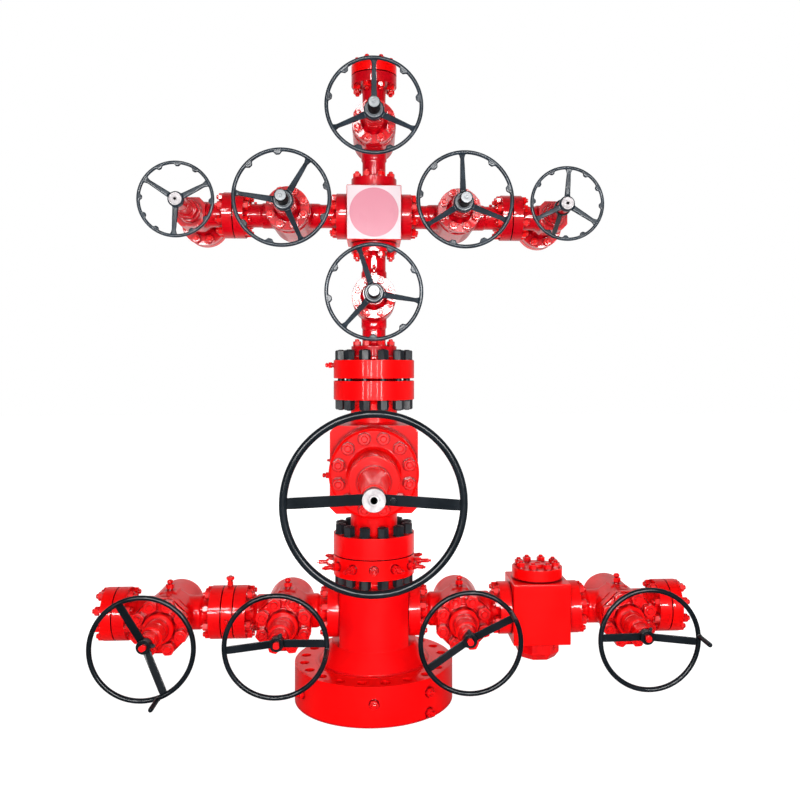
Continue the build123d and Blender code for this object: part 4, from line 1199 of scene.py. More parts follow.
@dataclass
class MasterValve:
    """The large lower master valve with its bonnet, its bearing housing and the big joints' studs."""

    axis: float = MASTER_HEIGHT
    half_height: float = 0.516
    width: float = 0.506
    depth: float = 0.400
    corner: float = 0.036
    boss_radius: float = 0.252
    bonnet_back: float = 0.290
    bonnet_radius: float = 0.250
    bonnet_front: float = 0.400
    lower_flange: Flange = Flange(0.240, 0.121, 0.003, 0.137, hub=0.014, face_share=0.6)
    upper_flange: Flange = Flange(0.240, 0.112, 0.007, 0.137, hub=0.014, face_share=0.6)

    def casting(self) -> Item:
        """Return the body: a square block with a round boss in front, necks and big flanges."""
        block = Bench.soften(Bench.block((self.width, self.depth, self.width), self.corner), 0.003)
        boss = Bench.turn(
            [(0.19, self.boss_radius), (self.bonnet_back - 0.006, self.boss_radius),
             (self.bonnet_back - 0.002, self.boss_radius - 0.004)], 128
        )
        shapes = [block, Bench.stand(Bench.soften(boss, 0.002), Way.FRONT.at())]
        for way, flange in ((Way.DOWN, self.lower_flange), (Way.UP, self.upper_flange)):
            end = self.half_height - flange.depth
            neck = Bench.turn(
                [(0.24, 0.160), (self.width / 2 + 0.001, 0.157), (self.width / 2 + 0.006, 0.146),
                 (self.width / 2 + 0.016, 0.1385), (end, 0.1375)], 96
            )
            shapes.append(Bench.stand(Bench.shade(neck, 40), way.at()))
        flanges = [
            Bench.stand(self.lower_flange.model(144), Way.DOWN.at(0, 0, -self.half_height)),
            Bench.stand(self.upper_flange.model(144), Way.UP.at(0, 0, self.half_height)),
        ]
        item = Bench.join([*shapes, *flanges])
        return Bench.stand(item, Matrix.Translation((0, 0, self.axis)))

    def bonnet(self) -> Item:
        """Return the bonnet: a thick bevelled plate and a long neck."""
        profile = [
            (self.bonnet_back - 0.005, 0.150), (self.bonnet_back + 0.003, 0.150),
            (self.bonnet_back + 0.003, self.bonnet_radius), (self.bonnet_front - 0.014, self.bonnet_radius),
            (self.bonnet_front, self.bonnet_radius - 0.014), (self.bonnet_front, 0.152),
            (self.bonnet_front + 0.006, 0.142), (self.bonnet_front + 0.020, 0.133), (0.640, 0.133),
            (0.640, 0.136), (0.664, 0.136), (0.664, 0.133), (0.728, 0.133), (0.732, 0.129), (0.732, 0.080),
        ]
        item = Bench.soften(Bench.turn(profile, 128), 0.003)
        return Bench.stand(item, Way.FRONT.at(0, 0, self.axis))

    def bearing(self) -> Item:
        """Return the bearing housing: a bolted flange, a taper and a long sleeve."""
        profile = [
            (0.728, 0.060), (0.732, 0.060), (0.732, 0.084), (0.774, 0.084), (0.778, 0.081),
            (0.778, 0.078), (0.928, 0.060), (1.180, 0.060), (1.180, 0.0575), (1.190, 0.0575),
            (1.190, 0.060), (1.266, 0.060), (1.270, 0.056), (1.270, 0.030),
        ]
        item = Bench.soften(Bench.turn(profile, 80), 0.002)
        return Bench.stand(item, Way.FRONT.at(0, 0, self.axis))

    def cap_screws(self) -> Item:
        """Return the round-headed screws in the bearing's flange."""
        cap = Bench.turn([(-0.002, 0.0078), (0.008, 0.0078), (0.008, 0.004), (0.004, 0.0035)], 16)
        head = Bench.soften(cap, 0.001, 1)
        # The heads stand on the taper's foot, which the flange's front carries
        ring = Bench.ring(head, 8, 0.0735, 0.778)
        return Bench.stand(ring, Way.FRONT.at(0, 0, self.axis))

    def build(self, shop: Shop) -> None:
        """Model the valve and the studs of the upright's big joints."""
        shop.take(self.casting(), "master_valve_casting", RED_CASTING, ["master_valve_body"])
        shop.take(self.bonnet(), "master_bonnet_forging", RED_ENAMEL, ["master_bonnet"])
        shop.take(self.bearing(), "master_bearing_sleeve", RED_ENAMEL, ["master_bearing_housing"])
        shop.take(self.cap_screws(), "bearing_cap_screws", RED_HARDWARE)
        nut = Fastener(flats=0.060, height=0.042, stud=0.020, reach=0.010, chamfer=0.007, sides=20)
        ring = replace(BIG_BOLTS, fastener=nut).model(shop.dice)
        nuts = Bench.stand(ring, Way.FRONT.at(0, -self.bonnet_front, self.axis))
        shop.take(nuts, "master_bonnet_nuts", RED_HARDWARE)
        for name, way, level in (
            ("head_joint_lower_nuts", Way.DOWN, 0.738), ("head_joint_upper_nuts", Way.UP, 0.980),
            ("adapter_joint_lower_nuts", Way.DOWN, 1.769), ("adapter_joint_upper_nuts", Way.UP, 2.003),
        ):
            shop.take(Bench.stand(BIG_BOLTS.model(shop.dice), way.at(0, 0, level)), name, BLACK_STUDS)
        radius = BIG_BOLTS.fastener.stud
        for name, low, high in (("head_joint_shanks", 0.845, 0.866), ("adapter_joint_shanks", 1.875, 1.901)):
            shank = Bench.shade(Bench.turn([(low, radius), (high, radius)], 16))
            ring = Bench.ring(shank, BIG_BOLTS.count, BIG_BOLTS.radius, first_turn=BIG_BOLTS.first_turn)
            shop.take(ring, name, BLACK_STUDS)


@dataclass
class TreeTop:
    """The adapter, the cross and the cap of the upper tree."""

    adapter_bottom: float = 1.888
    adapter_radius: float = 0.240
    adapter_thickness: float = 0.108
    cross_height: float = WING_HEIGHT
    cross_width: float = 0.318
    cap_bottom: float = 3.694

    def adapter(self) -> Item:
        """Return the adapter: a big flange, face down, with a low round boss on it."""
        bottom = self.adapter_bottom
        top = bottom + 0.007 + self.adapter_thickness
        profile = [
            (bottom, 0.144), (bottom + 0.007, 0.144), (bottom + 0.007, self.adapter_radius),
            (top, self.adapter_radius), (top, 0.156), (top + 0.006, 0.150), (top + 0.021, 0.150),
            (top + 0.021, 0.081),
        ]
        return Bench.soften(Bench.turn(profile, 144), 0.0035)

    def cross(self) -> Item:
        """Return the forged cross block."""
        block = Bench.block((self.cross_width,) * 3)
        Bench.soften(block, 0.006, 3)
        return Bench.stand(block, Matrix.Translation((0, 0, self.cross_height)))

    def cap(self) -> Item:
        """Return the tree cap: a blind flange, face down, with a low boss."""
        bottom = self.cap_bottom
        profile = [
            (bottom, 0.081), (bottom + 0.003, 0.081), (bottom + 0.003, 0.135), (bottom + 0.059, 0.135),
            (bottom + 0.059, 0.048), (bottom + 0.062, 0.046), (bottom + 0.071, 0.044),
            (bottom + 0.071, 0.020), (bottom + 0.067, 0.018),
        ]
        return Bench.soften(Bench.turn(profile, 96), 0.0035)

    def build(self, shop: Shop) -> None:
        """Model the pieces."""
        shop.take(self.adapter(), "tubing_adapter_forging", RED_ENAMEL, ["tubing_adapter"])
        shop.take(self.cross(), "cross_forging", RED_MILLED_REFLECTION, ["cross_block"])
        shop.take(self.cap(), "tree_cap_forging", RED_ENAMEL, ["tree_cap"])
        nuts = Bench.stand(UPPER_BOLTS.model(shop.dice), Way.UP.at(0, 0, self.cap_bottom + 0.059))
        shop.take(nuts, "tree_cap_nuts", RED_HARDWARE)


@dataclass
class Chokes:
    """The two angle chokes at the wings' ends, with their outlet flanges and one lock bar."""

    reach: float = CHOKE_REACH
    height: float = WING_HEIGHT
    inlet: float = 0.241
    outlet: float = 0.338
    width: float = 0.170
    corner: float = 0.034

    def casting(self, inward: Way) -> Item:
        """Return a choke's body: an eight-sided block, an inlet on its inward side and an outlet behind."""
        block = Bench.block((self.width, 0.198, self.width), self.corner)
        block.data.transform(Matrix.Translation((0, -0.013, 0)))
        shapes = [Bench.soften(block, 0.004, 3)]
        foot = self.width / 2
        for way, length in ((inward, self.inlet), (Way.BACK, self.outlet)):
            neck = Bench.turn(
                [(foot - 0.02, 0.079), (foot + 0.001, 0.078), (foot + 0.006, 0.0725), (foot + 0.014, 0.0695),
                 (length - UPPER_FLANGE.depth, 0.0695)], 64
            )
            shapes.append(Bench.stand(Bench.shade(neck, 40), way.at()))
        flange = UPPER_FLANGE.model()
        inlet_x = self.inlet if inward is Way.RIGHT else -self.inlet
        flanges = [Bench.twin(flange, inward.at(inlet_x)), Bench.twin(flange, Way.BACK.at(0, self.outlet))]
        bpy.data.objects.remove(flange)
        return Bench.join([*shapes, *flanges])

    def bonnet(self) -> Item:
        """Return the bonnet: a round collar, a hexagon and a long sleeve."""
        collar = Bench.turn(
            [(0.108, 0.060), (0.112, 0.066), (0.152, 0.066), (0.156, 0.062), (0.156, 0.040)], 64
        )
        hexagon = Bench.prism(6, 0.104, [(0.155, 0.96), (0.158, 1), (0.198, 1), (0.202, 0.95)])
        sleeve = Bench.turn(
            [(0.200, 0.044), (0.208, 0.044), (0.210, 0.037), (0.330, 0.037), (0.330, 0.0395),
             (0.342, 0.0395), (0.342, 0.037), (0.430, 0.037), (0.434, 0.034), (0.434, 0.02)], 56
        )
        edges = ((collar, 0.002), (hexagon, 0.003), (sleeve, 0.0015))
        return Bench.stand(Bench.join([Bench.soften(piece, edge) for piece, edge in edges]), Way.FRONT.at())

    def nuts(self, dice: Random, inward: Way) -> Item:
        """Return the nuts of the inlet and of the outlet's two flanges."""
        back = UPPER_FLANGE.depth
        ring = UPPER_BOLTS.model(dice)
        outward, side = (Way.LEFT, 1) if inward is Way.RIGHT else (Way.RIGHT, -1)
        places = [
            outward.at(side * (self.inlet - back)), Way.FRONT.at(0, self.outlet - back),
            Way.BACK.at(0, self.outlet + back),
        ]
        return Bench.spread(ring, places)

    def outlet_flanges(self) -> Item:
        """Return the companion flanges behind both chokes, bored and with a short weld neck."""
        face, back = self.outlet, self.outlet + UPPER_FLANGE.depth
        flange = Bench.turn(
            [(face, 0.081), (face + 0.003, 0.081), (face + 0.003, 0.135), (back, 0.135), (back, 0.074),
             (back + 0.004, 0.060)], 96
        )
        bore = Bench.turn([(face + 0.003, 0.039), (back + 0.05, 0.039)], 48)
        Bench.carve(flange, bore)
        Bench.soften(flange, 0.003)
        return Bench.spread(flange, [Way.BACK.at(x, 0, self.height) for x in (-self.reach, self.reach)])

    def lock_bar(self) -> Item:
        """Return the bar that hangs from a clamp ring on the right choke's sleeve."""
        middle = 0.350
        collar = Bench.turn([(middle - 0.012, 0.0463), (middle + 0.012, 0.0463)], 48)
        bar = Bench.block((0.026, 0.010, 0.164))
        bar.data.transform(Matrix.Translation((0, -middle, -0.082)))
        bar.data.transform(Matrix.Rotation(radians(18), 4, "Y"))
        collar = Bench.stand(collar, Way.FRONT.at())
        item = Bench.carve(collar, bar, "UNION")
        Bench.carve(item, Bench.stand(Bench.turn([(0.300, 0.0373), (0.400, 0.0373)], 48), Way.FRONT.at()))
        Bench.soften(item, 0.002)
        return Bench.stand(item, Matrix.Translation((self.reach, 0, self.height)))

    def build(self, shop: Shop) -> None:
        """Model each choke with its inlet towards its wing."""
        bonnet = self.bonnet()
        sides = (("left_choke", -self.reach, Way.RIGHT), ("right_choke", self.reach, Way.LEFT))
        for name, x, inward in sides:
            place = Matrix.Translation((x, 0, self.height))
            casting = Bench.stand(self.casting(inward), place)
            shop.take(casting, f"{name}_casting", RED_CRIMSON, [f"{name}_body"])
            shop.take(Bench.twin(bonnet, place), f"{name}_bonnet_forging", RED_CRIMSON, [f"{name}_bonnet"])
            nuts = Bench.stand(self.nuts(shop.dice, inward), place)
            shop.take(nuts, f"{name}_flange_nuts", RED_HARDWARE)
        bpy.data.objects.remove(bonnet)
        shop.take(self.outlet_flanges(), "choke_outlet_flange_pair", RED_ENAMEL, ["choke_outlet_flanges"])
        shop.take(self.lock_bar(), "choke_lock_bar_and_clamp", BLACK_ENAMEL, ["choke_lock_bar"])


@dataclass
class ArmParts:
    """What joins and ends the lower arms: end flanges, a spacer and a check valve."""

    height: float = ARM_HEIGHT
    left_end: float = -1.498
    right_end: float = 1.768
    end_thickness: float = 0.064
    spacer_start: float = -0.815
    spacer_length: float = 0.068
    check_x: float = 0.984
    check_length: float = 0.338
    check_depth: float = 0.336
    check_bottom: float = 0.331
    check_top: float = 0.689

    def end_flange(self) -> Item:
        """Return a blind end flange, joint face down, with a dished face and a plug."""
        top = 0.003 + self.end_thickness
        profile = [
            (0, 0.092), (0.003, 0.092), (0.003, 0.153), (top, 0.153), (top, 0.092), (top - 0.003, 0.090),
            (top - 0.003, 0.034), (top, 0.032), (top, 0.015), (top - 0.005, 0.013),
        ]
        return Bench.soften(Bench.turn(profile, 96), 0.0035)

    def spacer(self) -> Item:
        """Return the round spacer between the left arm's valves."""
        length = self.spacer_length
        profile = [
            (0, 0.092), (0.003, 0.092), (0.003, 0.153), (length - 0.003, 0.153), (length - 0.003, 0.092),
            (length, 0.092),
        ]
        item = Bench.soften(Bench.turn(profile, 96), 0.0035)
        return Bench.stand(item, Way.LEFT.at(self.spacer_start, 0, self.height))

    def check_block(self) -> Item:
        """Return the check valve's block with the seat of its lid."""
        tall = self.check_top - self.check_bottom
        block = Bench.block((self.check_length, self.check_depth, tall))
        Bench.soften(block, 0.007, 3)
        block.data.transform(Matrix.Translation((0, 0, self.check_bottom + tall / 2)))
        seat = Bench.turn([(self.check_top - 0.002, 0.096), (self.check_top + 0.008, 0.096)], 64)
        item = Bench.join([block, Bench.shade(seat)])
        return Bench.stand(item, Matrix.Translation((self.check_x, 0, 0)))

    def check_nose(self) -> Item:
        """Return the eight-sided nose below the block, with its set screw."""
        nose = Bench.prism(8, 0.246, [(-0.02, 1), (0.072, 1), (0.108, 0.797)])
        Bench.soften(nose, 0.005, 3, 20)
        Bench.stand(nose, Way.DOWN.at(0, 0, self.check_bottom))
        screw = Bench.soften(
            Bench.turn([(0.110, 0.0135), (0.1265, 0.0135), (0.1265, 0.007), (0.123, 0.006)], 20), 0.001, 1
        )
        Bench.stand(screw, Matrix.Translation((0, 0, self.check_bottom - 0.038)) @ radial(0, -45, 0))
        return Bench.stand(Bench.join([nose, screw]), Matrix.Translation((self.check_x, 0, 0)))

    def check_cap(self) -> Item:
        """Return the check valve's round cap with its boss."""
        bottom = self.check_top + 0.008
        profile = [
            (bottom, 0.151), (bottom + 0.064, 0.151), (bottom + 0.064, 0.053), (bottom + 0.068, 0.050),
            (bottom + 0.080, 0.047), (bottom + 0.080, 0.022), (bottom + 0.076, 0.020),
        ]
        item = Bench.soften(Bench.turn(profile, 96), 0.0035)
        return Bench.stand(item, Matrix.Translation((self.check_x, 0, 0)))

    def build(self, shop: Shop) -> None:
        """Model the parts and the nuts of their joints."""
        depth = RAISED_FACE + self.end_thickness
        ends = (("left", Way.LEFT, self.left_end, -depth), ("right", Way.RIGHT, self.right_end, depth))
        for side, way, face, back in ends:
            flange = Bench.stand(self.end_flange(), way.at(face, 0, self.height))
            shop.take(flange, f"{side}_end_flange_forging", RED_ENAMEL, [f"{side}_end_flange"])
            nuts = Bench.stand(LOWER_BOLTS.model(shop.dice), way.at(face + back, 0, self.height))
            shop.take(nuts, f"{side}_end_nuts", RED_HARDWARE)
        shop.take(self.spacer(), "arm_spacer_forging", RED_ENAMEL, ["arm_spacer"])
        shop.take(self.check_block(), "check_valve_forging", RED_ENAMEL, ["check_valve_block"])
        shop.take(self.check_nose(), "check_valve_nose", RED_WRINKLED)
        shop.take(self.check_cap(), "check_valve_lid", RED_ENAMEL, ["check_valve_cap"])
        cap_bolts = BoltCircle(Fastener(flats=0.044, height=0.028, stud=0.0135, reach=0.012), 0.113)
        nuts = Bench.stand(cap_bolts.model(shop.dice), Way.UP.at(self.check_x, 0, self.check_top + 0.072))
        shop.take(nuts, "check_valve_lid_nuts", RED_HARDWARE)


@dataclass
class Fittings:
    """Grease and bleed fittings on the valves, the spacer and the adapter."""

    arm_tops: tuple[float, ...] = tuple(ARM_VALVES.values())
    arm_top: float = 0.653
    arm_share: float = 1.28
    spacer_x: float = -0.849
    spacer_top: float = 0.666
    seat_depth: float = 0.004

    def grease_fitting(self) -> Item:
        """Return a fitting: a shank, a hexagon and a rounded cap, on Z from 0."""
        hexagon = Bench.soften(Bench.prism(6, 0.034, [(0.014, 1), (0.034, 1)]), 0.0015, 1)
        turned = Bench.shade(
            Bench.turn(
                [(-0.002, 0.014), (0.015, 0.014), (0.033, 0.012), (0.036, 0.0095), (0.039, 0.0125),
                 (0.043, 0.0140), (0.048, 0.0135), (0.052, 0.0105), (0.054, 0.006)], 20
            )
        )
        return Bench.join([hexagon, turned])

    def needle_fitting(self) -> Item:
        """Return the taller needle fitting on the spacer, on Z from 0."""
        body = Bench.shade(
            Bench.turn([(-0.003, 0.017), (0.026, 0.017), (0.029, 0.0145), (0.034, 0.0145), (0.036, 0.0165),
                        (0.041, 0.0165)], 24)
        )
        hexagon = Bench.prism(6, 0.042, [(0.040, 0.94), (0.043, 1), (0.056, 1), (0.060, 0.9)])
        Bench.soften(hexagon, 0.002, 1)
        stem = Bench.shade(Bench.turn([(0.058, 0.009), (0.064, 0.009), (0.0655, 0.007)], 20))
        return Bench.join([body, hexagon, stem])

    def bleed_balls(self) -> Item:
        """Return the pair of small ball checks on the upper master valve's neck, on Z from 0."""
        ball = Bench.shade(
            Bench.turn([(-0.004, 0.007), (0.004, 0.007), (0.006, 0.0095), (0.011, 0.0115), (0.016, 0.0095),
                        (0.019, 0.005)], 16)
        )
        return Bench.spread(ball, [Way.FRONT.at(0.0, -0.068, height) for height in (2.527, 2.553)])

    def square_plugs(self) -> Item:
        """Return the small square plugs in the spacer's rim and beside the wings' necks."""
        plug = Bench.soften(Bench.prism(4, 0.015, [(-0.004, 1), (0.007, 1), (0.010, 0.9)]), 0.001, 1)
        places = [
            Way.FRONT.at(self.spacer_x, -0.153, 0.500, 45), Way.UP.at(-0.700, -0.010, 2.928, 20),
            Way.UP.at(0.700, -0.010, 2.928, 60), Way.BACK.at(self.spacer_x, 0.153, 0.513, 45),
        ]
        return Bench.spread(plug, places)

    def build(self, shop: Shop) -> None:
        """Model each fitting once and stand the copies in their seats."""
        pattern = self.grease_fitting()
        larger = Matrix.Scale(self.arm_share, 4)
        low = self.arm_top - self.seat_depth
        places = [Way.UP.at(x, -0.040, low, 11 * index) @ larger for index, x in enumerate(self.arm_tops)]
        places.append(Way.LEFT.at(-0.236, 0, 1.973))
        places += [Way.LEFT.at(-0.253, 0, 1.317), Way.LEFT.at(-0.253, 0, 1.406) @ Matrix.Scale(0.5, 4)]
        fittings = Bench.spread(pattern, places)
        seat = Way.UP.at(self.spacer_x, 0, self.spacer_top - self.seat_depth)
        needle = Bench.stand(self.needle_fitting(), seat)
        shop.take(Bench.join([fittings, needle]), "grease_fitting_set", RED_HARDWARE, ["valve_fittings"])
        shop.take(self.bleed_balls(), "bleed_ball_checks", RED_HARDWARE)
        shop.take(self.square_plugs(), "square_plugs", RED_HARDWARE)


@dataclass(frozen=True)
class CastWheel:
    """A cast wheel with three spokes and finger lobes, in its own frame from the hub's back."""

    radius: float
    tube: float
    offset: float
    hub: float
    thickness: float
    hub_width: float
    rim_width: float
    lobes: int
    lobe_width: float
    lobe_depth: float
    spoke_depth: float = 0.020
    flare: float = 0.046

    def model(self) -> Item:
        """Return the casting with its first spoke along +X."""
        middle = self.radius - self.tube
        rim_level = self.thickness / 2 + self.offset
        half = self.thickness / 2
        hub = Bench.turn(
            [(0, self.hub - 0.004), (0.004, self.hub), (self.thickness - 0.006, self.hub),
             (self.thickness, self.hub - 0.006)], 48
        )
        shapes = [hub, Bench.hoop(middle, self.tube, rim_level)]
        for spoke in range(3):
            turn = 120 * spoke
            flare_start = middle - 0.030
            share = (flare_start - self.hub) / (middle - self.hub)
            stations = [
                (self.hub * 0.5, half, self.hub_width, self.spoke_depth),
                (self.hub, half, self.hub_width, self.spoke_depth),
                (flare_start, half + self.offset * share, self.rim_width, self.tube * 1.5),
                (middle - 0.012, half + self.offset * (share + 1) / 2, self.flare * 0.72, self.tube * 1.5),
                (middle, rim_level, self.flare, self.tube * 1.4),
            ]
            shapes.append(Bench.beam(stations, turn))
            for lobe in range(self.lobes):
                lobe_turn = turn + 120 * (lobe + 1) / (self.lobes + 1)
                inner, width = middle - self.tube - self.lobe_depth, self.lobe_width
                hump = [
                    (inner, rim_level, width * 0.55, 0.013), (inner + 0.005, rim_level, width * 0.85, 0.016),
                    (middle - self.tube + 0.002, rim_level, width * 1.45, 0.018),
                    (middle, rim_level, width * 1.9, 0.014),
                ]
                shapes.append(Bench.beam(hump, lobe_turn))
        return Bench.fuse(shapes, 0.003, 3)


@dataclass
class HandWheels:
    """All hand wheels, each family modelled once; every wheel rides on its own body."""

    cast: CastWheel = CastWheel(0.264, 0.011, 0.081, 0.055, 0.046, 0.034, 0.022, 2, 0.034, 0.016)
    choke: CastWheel = CastWheel(0.206, 0.0095, 0.010, 0.042, 0.042, 0.030, 0.022, 3, 0.026, 0.012)
    cast_places: tuple[tuple[str, float, float, float], ...] = (
        ("upper_master_wheel", 0.0, 2.362, 109.0), ("swab_wheel", 0.0, 3.356, 90.0),
        ("left_wing_wheel", -0.489, WING_HEIGHT, 55.0), ("right_wing_wheel", 0.489, WING_HEIGHT, 94.0),
    )
    choke_places: tuple[tuple[str, float, float, float], ...] = (
        ("left_choke_wheel", -CHOKE_REACH, WING_HEIGHT, 27.0),
        ("right_choke_wheel", CHOKE_REACH, WING_HEIGHT, 87.0),
    )
    crank_places: tuple[tuple[str, float, float, float], ...] = (
        ("left_inner_wheel", -0.5075, 3.0, -7.0), ("left_outer_wheel", -1.1905, -63.7, -7.0),
        ("right_inner_wheel", 0.5075, 30.0, 7.0), ("right_outer_wheel", 1.4605, -3.0, 7.0),
    )
    master_place: tuple[float, float, float, float] = (0.0, -1.275, MASTER_HEIGHT, -1.0)
    cast_plane: float = -0.445
    choke_plane: float = -0.439
    crank_plane: float = -0.576
    crank_radius: float = 0.264
    crank_level: float = 0.074

    def stem(self, radius: float) -> Item:
        """Return the stem that runs from a hub's back into its bonnet."""
        return Bench.shade(Bench.turn([(-0.064, radius * 0.9), (-0.062, radius), (0.004, radius)], 32))

    def stem_cover(self) -> Item:
        """Return an upper wheel's tube over the rising stem, with a chamfered end and a lip."""
        profile = [
            (0.040, 0.033), (0.150, 0.033), (0.150, 0.0315), (0.156, 0.0315), (0.156, 0.033), (0.162, 0.033),
            (0.164, 0.031),
        ]
        return Bench.soften(Bench.turn(profile, 48), 0.0015)

    def cover_end(self) -> Item:
        """Return the grey disc that closes a stem cover."""
        profile = [(0.162, 0.030), (0.1655, 0.030), (0.167, 0.0275), (0.167, 0.010), (0.1655, 0.008)]
        return Bench.soften(Bench.turn(profile, 48), 0.0008, 1)

    def hub_ring(self) -> Item:
        """Return the grey ring on a hub, round the foot of the stem cover."""
        profile = [(0.040, 0.0495), (0.0475, 0.0495), (0.0490, 0.047), (0.0490, 0.041), (0.0530, 0.038)]
        return Bench.soften(Bench.turn(profile, 48), 0.001)

    def choke_hub(self) -> Item:
        """Return a choke wheel's pale hub disc with its rim."""
        profile = [
            (0.038, 0.034), (0.045, 0.034), (0.045, 0.028), (0.043, 0.027), (0.043, 0.012), (0.046, 0.011),
        ]
        return Bench.soften(Bench.turn(profile, 48), 0.001)

    def socket(self, level: float, flats: float) -> Item:
        """Return a dark hexagon socket's insert, at a level on a wheel's axis."""
        insert = Bench.prism(6, flats, [(level, 1), (level + 0.004, 1), (level + 0.004, 0.7)])
        return Bench.soften(insert, 0.0006, 1)

    def crank_frame(self) -> Item:
        """Return a crank wheel's rim, its two flat spokes and its clamped hub."""
        level = 0.023
        shapes = [Bench.shade(Bench.hoop(self.crank_radius, 0.013, self.crank_level))]
        for turn in (0, 180):
            stations = [
                (0.020, level, 0.040, 0.009), (0.050, level + 0.006, 0.040, 0.009),
                (0.235, level + 0.046, 0.040, 0.009), (0.262, level + 0.051, 0.036, 0.009),
            ]
            shapes.append(Bench.soften(Bench.beam(stations, turn), 0.0018, 2, 20))
        profile = [(0, 0.035), (0.002, 0.037), (0.046, 0.037), (0.046, 0.020), (0.043, 0.0195)]
        hub = Bench.soften(Bench.turn(profile, 48), 0.0025)
        return Bench.join([*shapes, hub])

    def clamp_bolt(self) -> Item:
        """Return the bolt that clamps a crank wheel's hub to its stem."""
        bolt = Fastener(flats=0.019, height=0.012, stud=0.006, reach=0.006, chamfer=0.002).model()
        return Bench.stand(bolt, radial(0.036, 64, 0.023))

    def crank_handle(self) -> Item:
        """Return the crank's grip on its shouldered pin."""
        profile = [
            (0, 0.011), (0.014, 0.011), (0.014, 0.014), (0.020, 0.014), (0.020, 0.0105), (0.026, 0.0105),
            (0.030, 0.012), (0.150, 0.0125), (0.160, 0.011), (0.165, 0.007),
        ]
        return Bench.soften(Bench.turn(profile, 28), 0.0012)

    def stem_end(self) -> Item:
        """Return the lower stems' round end with two flats, above the hub."""
        end = Bench.turn([(0.040, 0.019), (0.063, 0.019), (0.066, 0.016)], 32)
        keep = Bench.block((0.031, 0.060, 0.080))
        keep.data.transform(Matrix.Translation((0, 0, 0.080)))
        Bench.carve(end, keep, "INTERSECT")
        return Bench.soften(end, 0.001, 1)

    def big_frame(self) -> Item:
        """Return the master wheel's rim, flat spokes, hub and spoke bolt."""
        level = 0.030
        shapes = [Bench.shade(Bench.hoop(0.386, 0.017, level + 0.131, 24))]
        for turn in (0, 180):
            stations = [
                (0.030, level, 0.049, 0.010), (0.070, level + 0.010, 0.049, 0.010),
                (0.340, level + 0.118, 0.049, 0.010), (0.384, level + 0.131, 0.046, 0.010),
            ]
            shapes.append(Bench.soften(Bench.beam(stations, turn), 0.002, 2, 20))
        profile = [(0, 0.048), (0.004, 0.052), (0.056, 0.052), (0.060, 0.048), (0.060, 0.030)]
        hub = Bench.soften(Bench.turn(profile, 56), 0.0015)
        bolt = Fastener(flats=0.024, height=0.012, stud=0.007, reach=0.004, chamfer=0.002).model()
        Bench.stand(bolt, Matrix.Translation((0.085, 0, level + 0.019)))
        return Bench.join([*shapes, hub, bolt])

    def big_disc(self) -> Item:
        """Return the pale disc on the master wheel's hub with its turned ring."""
        profile = [
            (0.052, 0.0525), (0.0610, 0.0525), (0.0630, 0.0505), (0.0635, 0.0480), (0.0620, 0.0465),
            (0.0620, 0.0300), (0.0610, 0.0285), (0.0610, 0.0245), (0.0645, 0.0230), (0.0645, 0.0165),
            (0.050, 0.0160),
        ]
        return Bench.soften(Bench.turn(profile, 56), 0.0008)

    @staticmethod
    def fit(shop: Shop, name: str, place: Matrix, parts: dict[str, tuple[Item, Finish]]) -> None:
        """Stand a copy of each part on one wheel's body.

        Args:
            shop: Takes the pieces in.
            name: The name of the wheel, of its body and of its node.
            place: The matrix from the wheel's frame to the stack's.
            parts: For each piece's name, its pattern and finish; a casting or a frame stands for the node.
        """
        for part, (pattern, finish) in parts.items():
            nodes = [name] if part in ("casting", "frame") else []
            shop.take(Bench.twin(pattern, place), f"{name}_{part}", finish, nodes, name)

    def build(self, shop: Shop) -> None:
        """Model each family once and stand a copy at each valve."""
        stem = (self.stem(0.017), BRIGHT_STEEL)
        cast = {
            "casting": (self.cast.model(), SLATE_CASTING), "stem_cover": (self.stem_cover(), BLACK_SLEEVE),
            "cover_end": (self.cover_end(), END_DISC), "hub_ring": (self.hub_ring(), HUB_RING), "stem": stem,
        }
        for name, x, z, turn in self.cast_places:
            self.fit(shop, name, Way.FRONT.at(x, self.cast_plane, z, turn), cast)
        choke = {
            "casting": (self.choke.model(), SLATE_CASTING), "hub_disc": (self.choke_hub(), PALE_PAINT),
            "socket": (self.socket(0.042, 0.017), BLACK_ENAMEL), "stem": stem,
        }
        for name, x, z, turn in self.choke_places:
            self.fit(shop, name, Way.FRONT.at(x, self.choke_plane, z, turn), choke)
        crank, grip = {"frame": (self.crank_frame(), BLACK_ENAMEL)}, {"grip": (self.crank_handle(), BLACK_ENAMEL)}
        ends = {
            "stem_end": (self.stem_end(), RED_HARDWARE), "clamp_bolt": (self.clamp_bolt(), BLACK_STUDS),
            "stem": stem,
        }
        foot = Matrix.Translation((self.crank_radius, 0, self.crank_level))
        for name, x, turn, grip_turn in self.crank_places:
            place = Way.FRONT.at(x, self.crank_plane, ARM_HEIGHT, turn)
            self.fit(shop, name, place, crank)
            self.fit(shop, name, Way.FRONT.at(x, self.crank_plane, ARM_HEIGHT, turn + grip_turn) @ foot, grip)
            self.fit(shop, name, place, ends)
        master = {
            "frame": (self.big_frame(), BLACK_ENAMEL), "hub_disc": (self.big_disc(), PALE_PAINT),
            "socket": (self.socket(0.056, 0.026), BLACK_ENAMEL), "stem": (self.stem(0.026), BRIGHT_STEEL),
        }
        self.fit(shop, "master_wheel", Way.FRONT.at(*self.master_place), master)
        families = (cast, choke, crank, grip, ends, master)
        for pattern in {pattern for parts in families for pattern, _ in parts.values()}:
            bpy.data.objects.remove(pattern)


